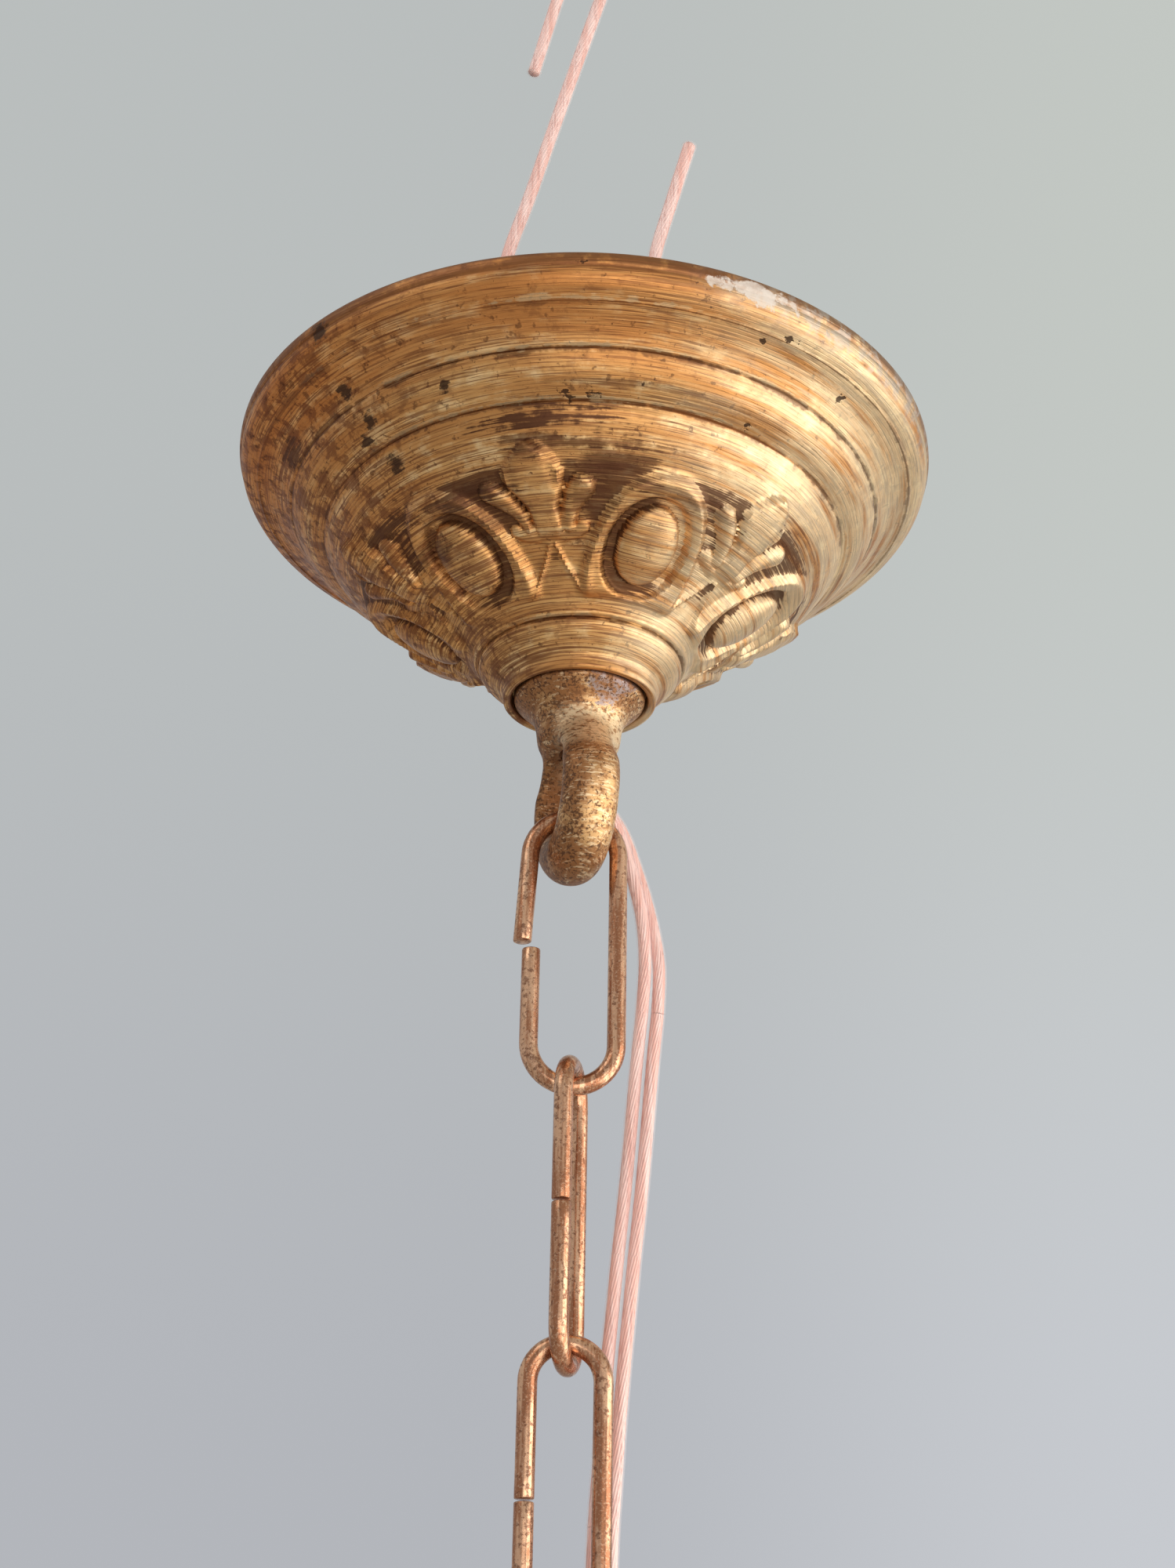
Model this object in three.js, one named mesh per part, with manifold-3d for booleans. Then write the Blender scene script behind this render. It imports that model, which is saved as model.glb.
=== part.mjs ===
// Ceiling suspension of a pendant lamp: relief canopy, cast loop, chain of three wire links and clear twin flex.
// Millimetres, +Z up, the room's front at -Y. The origin is the middle of the canopy's rim plane, at the ceiling.
import * as THREE from 'three';
import { mergeVertices } from 'three/addons/utils/BufferGeometryUtils.js';
import Module from 'manifold-3d';

const wasm = await Module();
wasm.setup();

// Driving dimensions
const GAP = 0.3; // running gap between neighbouring pieces
const RIM_R = 60; // canopy radius at the ceiling
const WALL = 1.3; // thickness of the canopy's metal
const WEB_Z = -43.6; // underside of the web that closes the canopy's neck
const WEB = 1.6; // thickness of that web
const COLLAR_R = 11.3; // opening in the lip under the web
const TURNING_STEPS = 78; // facets round the canopy
const MOTIFS = 6; // leaf and egg repeats round the bowl
const LEAF_AZIMUTH = -9.3; // degrees from the front to the nearest leaf
const FRONT_STRETCH = 4.8; // degrees by which the stamping runs wide towards the front
const BOWL_IN = 18.4; // inner and outer radius of the relief band
const BOWL_OUT = 41.4;
const EGG = { width: 4.5, length: 5.6, middle: 27.2, height: 2.2 };
const FRAME_HOLE = { width: 5.7, length: 6.5, middle: 27 };
const FRAME_EDGE = { width: 9.2, length: 12.5, middle: 26.5, fullness: 2.3 };
const FRAME_HEIGHT = 1.3;
const LEAF_HEIGHT = 1.4;
const HOLLOW = 0.4; // depth of the ground between egg and frame
const STEM_R = 4.9; // threaded stem, ten millimetres nominal
const STEM_BORE = 3.6;
const STEM_HOLE = 5.2; // clearance hole for the stem
const FLEX_HOLE = 3.2; // hole that lets the flex out of a cast loop
const NUT_FLATS = 14;
const NUT_HEIGHT = 4;
const WASHER_R = 9;
const WASHER = 1.2;
const STRAP = 2; // strap metal thickness
const STRAP_WIDTH = 14;
const STRAP_SPAN = 26; // over the strap's arms
const STRAP_Z = -28.5; // underside of the strap's base
const BOLT_R = 2.5;
const BOLT_Z = -8; // height of the bolt that the ceiling hook catches
const LOOP_TURN = 15; // degrees that each piece is turned about the plumb line
const LINK_TURNS = [4, -12, 0];
const BAR_Z = -73.9; // middle of the cast loop's bar
const BAR = 10; // thickness of that bar
const LOOP_AXIAL = 9.4; // width of the cast loop seen edge-on
const LOOP_HOLLOW = 0.6; // share by which the limbs' inner faces are scooped out
const WIRE_R = 1.47; // chain wire radius
const LINK_HEIGHT = 48.7;
const LINK_WIDTH = 14;
const OPEN_LINK_WIDTH = 16.6; // the first link is spread to straddle the loop
const LAMP_RING_R = 2.8; // section radius of the lower loop's ring
const FLEX_WIDTH = 5.1;
const FLEX_THICK = 2.6;
const CORE_R = 1.3; // radius of one clear conductor

const radians = THREE.MathUtils.degToRad;
const smooth = THREE.MathUtils.smoothstep;
const hiddenSteel = { color: 0x9a9890, roughness: 0.45, metalness: 0.9 };

// Materials
const gilt = new THREE.MeshStandardMaterial({ color: 0xa67c3c, roughness: 0.42, metalness: 0.9 });
const castBrass = new THREE.MeshStandardMaterial({ color: 0x946c3a, roughness: 0.5, metalness: 0.85 });
const chainWire = new THREE.MeshStandardMaterial({ color: 0x8a5f38, roughness: 0.45, metalness: 0.85 });
const steel = new THREE.MeshStandardMaterial(hiddenSteel);
const clearFlex = new THREE.MeshStandardMaterial({ color: 0xe8b8a8, roughness: 0.15, metalness: 0 });
const bushPlastic = new THREE.MeshStandardMaterial({ color: 0xe6e0d2, roughness: 0.5, metalness: 0 });

// Joins and cuts

function toSolid(geometry) {
  const bare = geometry.clone();
  bare.deleteAttribute('normal');
  bare.deleteAttribute('uv');
  const merged = mergeVertices(bare, 1e-4);
  return new wasm.Manifold(new wasm.Mesh({
    numProp: 3,
    vertProperties: new Float32Array(merged.attributes.position.array),
    triVerts: new Uint32Array(merged.index.array),
  }));
}

function toGeometry(solid) {
  const { vertProperties, triVerts } = solid.getMesh();
  const geometry = new THREE.BufferGeometry();
  geometry.setAttribute('position', new THREE.BufferAttribute(vertProperties, 3));
  geometry.setIndex(new THREE.BufferAttribute(triVerts, 1));
  geometry.computeVertexNormals();
  return geometry;
}

// Shape helpers

// Turns a closed outline of [radius, height] points round the Z axis, drawn up its outer side first
function revolve(outline, steps) {
  const points = [...outline, outline[0]].map(([r, z]) => new THREE.Vector2(r, z));
  return new THREE.LatheGeometry(points, steps).rotateX(Math.PI / 2);
}

function upright(radius, low, high, sides = 32) {
  const rod = new THREE.CylinderGeometry(radius, radius, high - low, sides).rotateX(Math.PI / 2);
  return rod.translate(0, 0, (low + high) / 2);
}

// A flat plate, outlined in X and Y, standing from one height to another
function plate(shape, low, high) {
  const settings = { depth: high - low, bevelEnabled: false, curveSegments: 16 };
  return new THREE.ExtrudeGeometry(shape, settings).translate(0, 0, low);
}

function hexagon(flats) {
  const corner = flats / 2 / Math.cos(Math.PI / 6);
  const turns = [0, 1, 2, 3, 4, 5].map((i) => (i * Math.PI) / 3);
  return new THREE.Shape(turns.map((t) => new THREE.Vector2(corner * Math.cos(t), corner * Math.sin(t))));
}

function roundHole(radius) {
  return new THREE.Path().absarc(0, 0, radius, 0, 2 * Math.PI, true);
}

function roundSection(radius, sides) {
  const turns = Array.from({ length: sides }, (_, i) => (i / sides) * 2 * Math.PI);
  return new THREE.Shape(turns.map((t) => new THREE.Vector2(radius * Math.cos(t), radius * Math.sin(t))));
}

// A route that a section is swept along, station by station, with the section's own X kept near a given side
class StationRoute extends THREE.Curve {
  constructor(stations, sides) {
    super();
    this.stations = stations;
    this.sides = sides;
  }

  getSpacedPoints() {
    return this.stations;
  }

  computeFrenetFrames() {
    const last = this.stations.length - 1;
    const tangents = this.stations.map((_, i) => {
      const ahead = this.stations[Math.min(i + 1, last)].clone().sub(this.stations[Math.min(i, last - 1)]);
      const behind = this.stations[Math.max(i, 1)].clone().sub(this.stations[Math.max(i - 1, 0)]);
      return ahead.normalize().add(behind.normalize()).normalize();
    });
    const normals = tangents.map((t, i) => {
      const side = this.sides[i].clone();
      return side.addScaledVector(t, -t.dot(side)).normalize();
    });
    const binormals = tangents.map((t, i) => t.clone().cross(normals[i]));
    return { tangents, normals, binormals };
  }
}

function sweep(section, stations, sides) {
  const extrudePath = new StationRoute(stations, sides);
  return new THREE.ExtrudeGeometry(section, { steps: stations.length - 1, extrudePath });
}

function makeMesh(name, geometry, material) {
  const mesh = new THREE.Mesh(geometry, material);
  mesh.name = name;
  return mesh;
}

// Canopy

// Offset in degrees from the nearest of the motifs, of which one lies at the azimuth called first
function fromNearest(azimuth, first) {
  const pitch = 360 / MOTIFS;
  const off = THREE.MathUtils.euclideanModulo(azimuth - first + pitch / 2, pitch);
  return off - pitch / 2;
}

// How far a point lies from an oval's middle: 1 on the oval itself
function ovalReach(side, r, { width, length, middle, fullness = 2 }) {
  const across = Math.abs(side / width) ** fullness;
  const along = Math.abs((r - middle) / length) ** fullness;
  return (across + along) ** (1 / fullness);
}

// An egg in the hollow of its hooded frame
function eggHeight(side, r) {
  const egg = EGG.height * Math.sqrt(Math.max(0, 1 - ovalReach(side, r, EGG) ** 2));
  const inFrame = 1 - smooth(ovalReach(side, r, FRAME_HOLE), 1, 1.15);
  const overEdge = smooth(ovalReach(side, r, FRAME_EDGE), 0.86, 1);
  const frame = FRAME_HEIGHT * (1 - inFrame) * (1 - overEdge) * smooth(r, 19, 21);
  return Math.max(egg, frame) - HOLLOW * inFrame * (egg > 0 ? 0 : 1);
}

// A leaf of three lobes: a blunt middle one and two that lean out over the frames
function leafHeight(side, r) {
  const bodyWidth = 1.5 + 3.3 * smooth(r, 28, 35.5) - 4.4 * smooth(r, 37.5, 41.2);
  const middleLobe = smooth(bodyWidth - side, 0, 1.2) * smooth(r, 26.5, 28);
  const lean = THREE.MathUtils.mapLinear(r, 29, 35, 2.6, 7.4);
  const sideLobe = Math.sqrt(Math.max(0, 1 - ((side - lean) / 2) ** 2 - ((r - 32.4) / 3.9) ** 2));
  return LEAF_HEIGHT * Math.max(middleLobe, sideLobe);
}

// Height of the stamped relief over the plain bowl
function reliefHeight(azimuth, r) {
  const stamped = azimuth - FRONT_STRETCH * Math.sin(radians(azimuth));
  const leafSide = Math.abs(radians(fromNearest(stamped, LEAF_AZIMUTH))) * r;
  const eggSide = radians(fromNearest(stamped, LEAF_AZIMUTH + 180 / MOTIFS)) * r;
  const egg = eggHeight(eggSide, r);
  const leaf = leafHeight(leafSide, r);
  return leaf > 0.2 ? Math.max(egg, leaf) : egg;
}

// The moulded outer face of the canopy as [radius, height] points, from the lip up to the rim
function canopyOuterFace() {
  const face = new THREE.Path();
  face.moveTo(COLLAR_R + 0.3, -45.2);
  face.lineTo(12.4, -45.4);
  face.quadraticCurveTo(15.0, -44.6, 16.4, -43.0); // lip and collar
  face.quadraticCurveTo(17.8, -40.9, 17.2, -39.0);
  face.lineTo(17.9, -38.3);
  face.bezierCurveTo(27, -28.6, 37, -25.2, BOWL_OUT, -20.8); // bowl that carries the relief
  face.lineTo(44.1, -17.3);
  face.lineTo(44.3, -16.5);
  face.lineTo(45.5, -15.9);
  face.quadraticCurveTo(48.8, -14.5, 50.4, -11.1); // round moulding
  face.lineTo(50.9, -10.5);
  face.quadraticCurveTo(53.2, -7.7, 56.8, -6.4); // cove
  face.quadraticCurveTo(59.6, -5.3, 59.7, -3.0); // outer moulding
  face.lineTo(RIM_R, -2.4);
  face.lineTo(RIM_R, -0.7);
  face.lineTo(RIM_R - 0.5, 0);
  const bowlSteps = 14;
  const steps = { CubicBezierCurve: bowlSteps, QuadraticBezierCurve: 3, LineCurve: 1 };
  const points = face.curves.flatMap((curve) => curve.getPoints(steps[curve.type]).slice(1));
  return [face.curves[0].getPoint(0), ...points].map((p) => [p.x, p.y]);
}

// The smooth inner face, from the rim down to the bore in the web
const canopyInnerFace = [
  [RIM_R - 2.1, 0], [RIM_R - 2.1, -2.6], [55.8, -5.2], [49.2, -9.4], [43.2, -15.6], [40.2, -19.2], [28.6, -26.6],
  [16.6, -37], [15.6, -40], [13.4, WEB_Z + WEB], [STEM_HOLE, WEB_Z + WEB], [STEM_HOLE, WEB_Z], [COLLAR_R, WEB_Z],
];

function makeCanopy() {
  const geometry = revolve([...canopyOuterFace(), ...canopyInnerFace], TURNING_STEPS);
  const place = geometry.attributes.position;
  const outward = new THREE.Vector2(0.62, -0.78);
  for (let i = 0; i < place.count; i += 1) {
    const r = Math.hypot(place.getX(i), place.getY(i));
    const z = place.getZ(i);
    const bowl = r > BOWL_IN && r < BOWL_OUT && z < innerHeight(r) - WALL / 2;
    if (bowl) {
      const azimuth = THREE.MathUtils.radToDeg(Math.atan2(place.getX(i), -place.getY(i)));
      const lift = reliefHeight(azimuth, r);
      const spread = (r + lift * outward.x) / r;
      place.setXYZ(i, place.getX(i) * spread, place.getY(i) * spread, z + lift * outward.y);
    }
  }
  return makeMesh('canopy_shell', geometry, gilt);
}

// Height of the inner face at a radius, which tells the bowl's outer points from its inner ones
function innerHeight(r) {
  const above = canopyInnerFace.findIndex(([radius]) => radius < r);
  const [outerR, outerZ] = canopyInnerFace[above - 1];
  const [innerR, innerZ] = canopyInnerFace[above];
  return THREE.MathUtils.mapLinear(r, innerR, outerR, innerZ, outerZ);
}

// Stem fittings inside the canopy

function makeTube(name, outer, bore, low, high, material) {
  const outline = [[outer, low], [outer, high], [bore, high], [bore, low]];
  return makeMesh(name, revolve(outline, 24), material);
}

function makeNut(name, low, flats, height, hole, material) {
  const outline = hexagon(flats);
  outline.holes.push(roundHole(hole));
  return makeMesh(name, plate(outline, low, low + height), material);
}

// A U-shaped strap: its base sits on the stem and its ears carry the hook's bolt
function makeHangerStrap() {
  const half = STRAP_SPAN / 2;
  const bend = 4;
  const side = new THREE.Shape();
  side.moveTo(-half, 0);
  side.lineTo(-half, STRAP_Z + bend);
  side.quadraticCurveTo(-half, STRAP_Z, -half + bend, STRAP_Z);
  side.lineTo(half - bend, STRAP_Z);
  side.quadraticCurveTo(half, STRAP_Z, half, STRAP_Z + bend);
  side.lineTo(half, 0);
  side.lineTo(half - STRAP, 0);
  side.lineTo(half - STRAP, STRAP_Z + bend);
  side.quadraticCurveTo(half - STRAP, STRAP_Z + STRAP, half - bend, STRAP_Z + STRAP);
  side.lineTo(-half + bend, STRAP_Z + STRAP);
  side.quadraticCurveTo(-half + STRAP, STRAP_Z + STRAP, -half + STRAP, STRAP_Z + bend);
  side.lineTo(-half + STRAP, 0);
  const settings = { depth: STRAP_WIDTH, bevelEnabled: false, curveSegments: 5 };
  const folded = new THREE.ExtrudeGeometry(side, settings).rotateX(Math.PI / 2).translate(0, STRAP_WIDTH / 2, 0);
  // The side view of the ears, rounded about the bolt and square at the base
  const ear = new THREE.Shape();
  ear.moveTo(-STRAP_WIDTH / 2, STRAP_Z - 1);
  ear.lineTo(STRAP_WIDTH / 2, STRAP_Z - 1);
  ear.absarc(0, BOLT_Z, STRAP_WIDTH / 2, 0, Math.PI, false);
  ear.holes.push(new THREE.Path().absarc(0, BOLT_Z, BOLT_R + GAP, 0, 2 * Math.PI, true));
  const across = { depth: STRAP_SPAN + 2, bevelEnabled: false, curveSegments: 10 };
  const ears = new THREE.ExtrudeGeometry(ear, across).rotateX(Math.PI / 2).rotateZ(Math.PI / 2);
  ears.translate(-half - 1, 0, 0);
  const hole = upright(STEM_HOLE, STRAP_Z - 1, STRAP_Z + STRAP + 1);
  const strap = toSolid(folded).intersect(toSolid(ears)).subtract(toSolid(hole));
  return makeMesh('hanger_strap', toGeometry(strap), steel);
}

function makeHangerBolt() {
  const half = STRAP_SPAN / 2;
  const headHeight = 3.5;
  const shank = upright(BOLT_R, -half - 6, half + GAP + 0.5, 16);
  const head = plate(hexagon(8), half + GAP, half + GAP + headHeight);
  const bolt = toGeometry(toSolid(shank).add(toSolid(head)));
  return makeMesh('hanger_bolt', bolt.rotateY(Math.PI / 2).translate(0, 0, BOLT_Z), steel);
}

function makeHangerNut() {
  const nut = makeNut('hanger_nut', -STRAP_SPAN / 2 - GAP - NUT_HEIGHT, 8, NUT_HEIGHT, BOLT_R + GAP, steel);
  nut.geometry.rotateY(Math.PI / 2).translate(0, 0, BOLT_Z);
  return nut;
}

// Lines the stem's mouth so that its edge can't cut the flex
function makeFlexBush(stemTop) {
  const flange = stemTop + GAP;
  const outline = [
    [STEM_BORE - GAP, stemTop - 5], [STEM_BORE - GAP, flange], [STEM_R - 0.2, flange], [STEM_R - 0.2, flange + 0.6],
    [STEM_R - 0.6, flange + 1], [STEM_BORE - 0.7, flange + 1], [STEM_BORE - 0.7, stemTop - 5],
  ];
  return makeMesh('flex_bush', revolve(outline, 24), bushPlastic);
}

// Cast loops

// An oval ring about the X axis: thicker at the bar that carries the load, its limbs hollowed on the inside
function ovalRing({ halfWidth, halfHeight, axial, limb, bar, barSide, hollow, sides, steps }) {
  const ring = new THREE.TorusGeometry(1, 0.3, sides, steps);
  const place = ring.attributes.position;
  for (let i = 0; i < place.count; i += 1) {
    const round = ((i % (steps + 1)) / steps) * 2 * Math.PI;
    const about = (Math.floor(i / (steps + 1)) / sides) * 2 * Math.PI;
    const load = Math.max(0, barSide * Math.sin(round)) ** 1.5;
    const inward = Math.max(0, -Math.cos(about));
    const scooped = 1 - hollow * inward * (1 - smooth(load, 0.1, 0.6));
    const reach = (THREE.MathUtils.lerp(limb, bar, load) / 2) * Math.cos(about) * scooped;
    const slope = new THREE.Vector2(Math.cos(round) * halfHeight, Math.sin(round) * halfWidth).normalize();
    const y = halfWidth * Math.cos(round) + reach * slope.x;
    const z = halfHeight * Math.sin(round) + reach * slope.y;
    place.setXYZ(i, (axial / 2) * Math.sin(about), y, z);
  }
  return ring;
}

function makeCeilingLoop() {
  const halfHeight = 11.2;
  const ringZ = BAR_Z + halfHeight;
  const ring = ovalRing({
    halfWidth: 9.5, halfHeight, axial: LOOP_AXIAL, limb: 7.6, bar: BAR, barSide: -1, hollow: LOOP_HOLLOW,
    sides: 12, steps: 26,
  });
  ring.rotateZ(radians(LOOP_TURN)).translate(0, 0, ringZ);
  const footTop = WEB_Z - GAP;
  const eyeTop = ringZ + halfHeight - 3.8;
  const neck = new THREE.Path();
  neck.moveTo(1, eyeTop - 0.4);
  neck.lineTo(4.4, eyeTop - 0.2);
  neck.lineTo(6.2, eyeTop + 1);
  neck.lineTo(6.6, -52.6);
  neck.quadraticCurveTo(6.9, -48.6, 10.2, -46.2);
  neck.lineTo(10.9, -45.2);
  neck.lineTo(10.9, footTop);
  neck.lineTo(1, footTop);
  const outline = neck.getPoints(5).map((p) => [p.x, p.y]);
  const stemSeat = upright(STEM_HOLE, footTop - 5.6, footTop + 1, 24);
  const flexHole = upright(FLEX_HOLE, eyeTop - 2.5, footTop, 16);
  const body = toSolid(revolve(outline, 28)).add(toSolid(ring));
  const loop = body.subtract(toSolid(stemSeat)).subtract(toSolid(flexHole));
  return makeMesh('ceiling_loop', toGeometry(loop), castBrass);
}

// Hangs in its own frame from the pivot: the ring's bar just over the wire that holds it
function makeLampLoop() {
  const halfHeight = 9.8;
  const ringZ = WIRE_R + GAP + LAMP_RING_R - halfHeight;
  const wire = 2 * LAMP_RING_R;
  const ring = ovalRing({
    halfWidth: 8.3, halfHeight, axial: wire, limb: wire, bar: wire, barSide: 1, hollow: 0, sides: 10, steps: 22,
  });
  ring.translate(0, 0, ringZ);
  const eyeLow = ringZ - halfHeight + LAMP_RING_R;
  const foot = eyeLow - 11;
  const outline = [
    [1, foot], [8.5, foot], [8.5, foot + 1.6], [7.6, foot + 2.8], [6.4, foot + 5], [5.4, foot + 8],
    [5.2, foot + 10.2], [4.4, eyeLow + 0.6], [1, eyeLow + 0.8],
  ];
  const stemSeat = upright(STEM_HOLE, foot - 1, foot + 4.6, 24);
  const flexHole = upright(FLEX_HOLE, foot, eyeLow + 3, 16);
  const body = toSolid(revolve(outline, 24)).add(toSolid(ring));
  const loop = body.subtract(toSolid(stemSeat)).subtract(toSolid(flexHole));
  return { mesh: makeMesh('lamp_loop', toGeometry(loop), castBrass), foot, eyeLow };
}

// Chain

// Stations of one wire link in its own XZ plane, from its top middle's height downwards. The route starts below
// the butt gap, runs round the bottom, up the other leg and over the top, and ends above the gap. Spread leans
// the wire outwards over the last quarter, as on a link that was opened to hang it.
function linkStations({ width, gapBelowTop, gapWidth, gapSide, spread }) {
  const reach = width / 2 - WIRE_R;
  const bendTop = -width / 2;
  const bendLow = -LINK_HEIGHT + width / 2;
  const bendSteps = 12;
  const stations = [new THREE.Vector3(gapSide * reach, 0, -gapBelowTop - gapWidth)];
  for (let i = 0; i <= bendSteps; i += 1) {
    const turn = (i / bendSteps) * Math.PI;
    stations.push(new THREE.Vector3(gapSide * reach * Math.cos(turn), 0, bendLow - reach * Math.sin(turn)));
  }
  for (let i = 0; i <= bendSteps; i += 1) {
    const turn = (i / bendSteps) * Math.PI;
    const lean = spread * 0.4 * (i / bendSteps) ** 2;
    const x = gapSide * (-reach * Math.cos(turn) + lean);
    stations.push(new THREE.Vector3(x, 0, bendTop + reach * Math.sin(turn)));
  }
  stations.push(new THREE.Vector3(gapSide * (reach + spread), 0, -gapBelowTop));
  return stations;
}

function makeLink(name, settings, turn) {
  const stations = linkStations(settings);
  const sides = stations.map(() => new THREE.Vector3(0, 1, 0));
  const geometry = sweep(roundSection(WIRE_R, 10), stations, sides);
  return makeMesh(name, geometry.rotateZ(radians(turn)), chainWire);
}

// Flex

function twinSection() {
  const wide = FLEX_WIDTH / 2;
  const thick = FLEX_THICK / 2;
  const flat = wide - 0.75;
  const edge = 0.55;
  const corners = [
    [wide, edge], [flat, thick], [-flat, thick], [-wide, edge],
    [-wide, -edge], [-flat, -thick], [flat, -thick], [wide, -edge],
  ];
  return new THREE.Shape(corners.map(([x, y]) => new THREE.Vector2(x, y)));
}

// The hand-chosen route of the hanging flex: X, Y, Z and the turn of its flat side away from the front, degrees
const flexRoute = [
  [0, 0, -54.6, 90], [0, 0, -56.8, 90], [1, 0.7, -59.8, 88], [3.1, 2.2, -62.4, 80], [5.4, 3.8, -64.6, 72],
  [7.3, 5, -67.8, 64], [8.8, 5.6, -72, 60], [10.5, 6.1, -77.6, 56], [11.8, 6.6, -83.4, 48], [12.5, 7, -90.2, 26],
  [12.2, 7.5, -98, 8], [11.5, 8, -105.6, 0], [10.9, 8.2, -113.2, 0], [10.3, 8.2, -121, 0], [9.6, 8.2, -129, 0],
  [8.8, 8.1, -137, 0], [8.1, 8, -145, 0], [7.4, 7.8, -153, 0], [6.8, 7.5, -161, 0], [6.3, 7.1, -169, 0],
  [5.8, 6.6, -177, 0], [5.6, 6, -185, 4], [5.8, 5.1, -193, 22], [5.1, 3.7, -199, 52], [3.2, 2.2, -203, 76],
  [1, 0.7, -206, 90], [0, 0, -208.8, 90], [0, 0, -210.6, 90],
];
// Stations of the route where one stretch of the flex meets the next
const flexCuts = [0, 10, 15, 20, 27];

// Shortens a row of stations at its start and end, so that neighbours keep their gap
function trimmed(stations, startGap, endGap) {
  const row = stations.map((p) => p.clone());
  const last = row.length - 1;
  const ahead = row[1].clone().sub(row[0]).setLength(startGap);
  const back = row[last - 1].clone().sub(row[last]).setLength(endGap);
  row[0].add(ahead);
  row[last].add(back);
  return row;
}

function makeFlexStretch(number) {
  const rows = flexRoute.slice(flexCuts[number - 1], flexCuts[number] + 1);
  const stations = trimmed(rows.map(([x, y, z]) => new THREE.Vector3(x, y, z)), GAP / 2, GAP / 2);
  const sides = rows.map(([, , , turn]) => new THREE.Vector3(Math.cos(radians(turn)), Math.sin(radians(turn)), 0));
  return makeMesh(`flex_${number}`, sweep(twinSection(), stations, sides), clearFlex);
}

function makeStraightFlex(name, low, high) {
  const stations = [new THREE.Vector3(0, 0, high), new THREE.Vector3(0, 0, low)];
  const sides = stations.map(() => new THREE.Vector3(0, 1, 0));
  return makeMesh(name, sweep(twinSection(), stations, sides), clearFlex);
}

// Hand-chosen routes of the two conductors from the bush over to the front and up past the rim
const longConductor = [
  [0, -1.5, -16.5], [0, -1.6, -15.2], [-0.4, -2.8, -13.2], [-1.6, -6, -11.6], [-3.6, -11, -10.6], [-7, -19, -9.6],
  [-10.8, -28.6, -8], [-13.4, -37.4, -4.2], [-14.3, -43, 2.2], [-12.6, -45, 11.5], [-9.6, -45, 23], [-5.7, -45, 39],
  [-1.8, -45, 54.5], [1.3, -45, 66.7], [3.5, -44.6, 75], [4, -43, 82], [2.4, -40, 87.4], [-0.8, -36.6, 88.8],
  [-4, -34, 86], [-6.2, -33, 79.5], [-8.2, -33, 70.4], [-10.1, -33, 61.5],
];
const shortConductor = [
  [0, 1.5, -16.5], [0.1, 1.5, -15.1], [1.5, 1.1, -13.5], [3.6, -0.8, -12.8], [5, -5, -12.2], [6.2, -12, -11.2],
  [7.8, -22, -9.8], [9.2, -32, -7.4], [10, -40, -2.6], [10.4, -44.2, 4.6], [11, -45, 12], [13.6, -45, 23],
  [16.5, -45, 34.6],
];

function makeConductor(name, route) {
  const stations = route.map(([x, y, z]) => new THREE.Vector3(x, y, z));
  const sides = stations.map(() => new THREE.Vector3(1, 0.2, 0));
  return makeMesh(name, sweep(roundSection(CORE_R, 8), stations, sides), clearFlex);
}

// Assembly

const lamp = new THREE.Group();
const stemLow = WEB_Z - GAP - 5.2;
const stemTop = -19.4;
const webTop = WEB_Z + WEB;
const strapTop = STRAP_Z + STRAP;

lamp.add(
  makeCanopy(),
  makeCeilingLoop(),
  makeTube('stem_nipple', STEM_R, STEM_BORE, stemLow, stemTop, steel),
  makeTube('canopy_washer', WASHER_R, STEM_HOLE, webTop + GAP, webTop + GAP + WASHER, steel),
  makeNut('canopy_locknut', webTop + 2 * GAP + WASHER, NUT_FLATS, NUT_HEIGHT, STEM_HOLE, steel),
  makeHangerStrap(),
  makeTube('strap_washer', WASHER_R, STEM_HOLE, strapTop + GAP, strapTop + GAP + WASHER, steel),
  makeNut('strap_locknut', strapTop + 2 * GAP + WASHER, NUT_FLATS, NUT_HEIGHT, STEM_HOLE, steel),
  makeHangerBolt(),
  makeHangerNut(),
  makeFlexBush(stemTop),
  makeStraightFlex('flex_in_stem', -54.6 + GAP / 2, -16.8),
  makeConductor('conductor_long', longConductor),
  makeConductor('conductor_short', shortConductor),
);

// Each link hangs with its top bend inside the one above
const firstTop = BAR_Z + BAR / 2 + GAP + 2 * WIRE_R;
const pitch = LINK_HEIGHT - 4 * WIRE_R - GAP;
const linkShapes = [
  { width: OPEN_LINK_WIDTH, gapBelowTop: 23.6, gapWidth: 1.3, gapSide: -1, spread: 1.45 },
  { width: LINK_WIDTH, gapBelowTop: 24, gapWidth: 0.4, gapSide: -1, spread: 0 },
  { width: LINK_WIDTH, gapBelowTop: 23.4, gapWidth: 0.4, gapSide: -1, spread: 0 },
];
linkShapes.forEach((shape, i) => {
  const quarter = i === 1 ? 90 : 0;
  const link = makeLink(`link_${i + 1}`, shape, LINK_TURNS[i] + quarter);
  link.position.z = firstTop - i * pitch;
  lamp.add(link);
});

[1, 2, 3, 4].forEach((number) => lamp.add(makeFlexStretch(number)));

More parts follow.
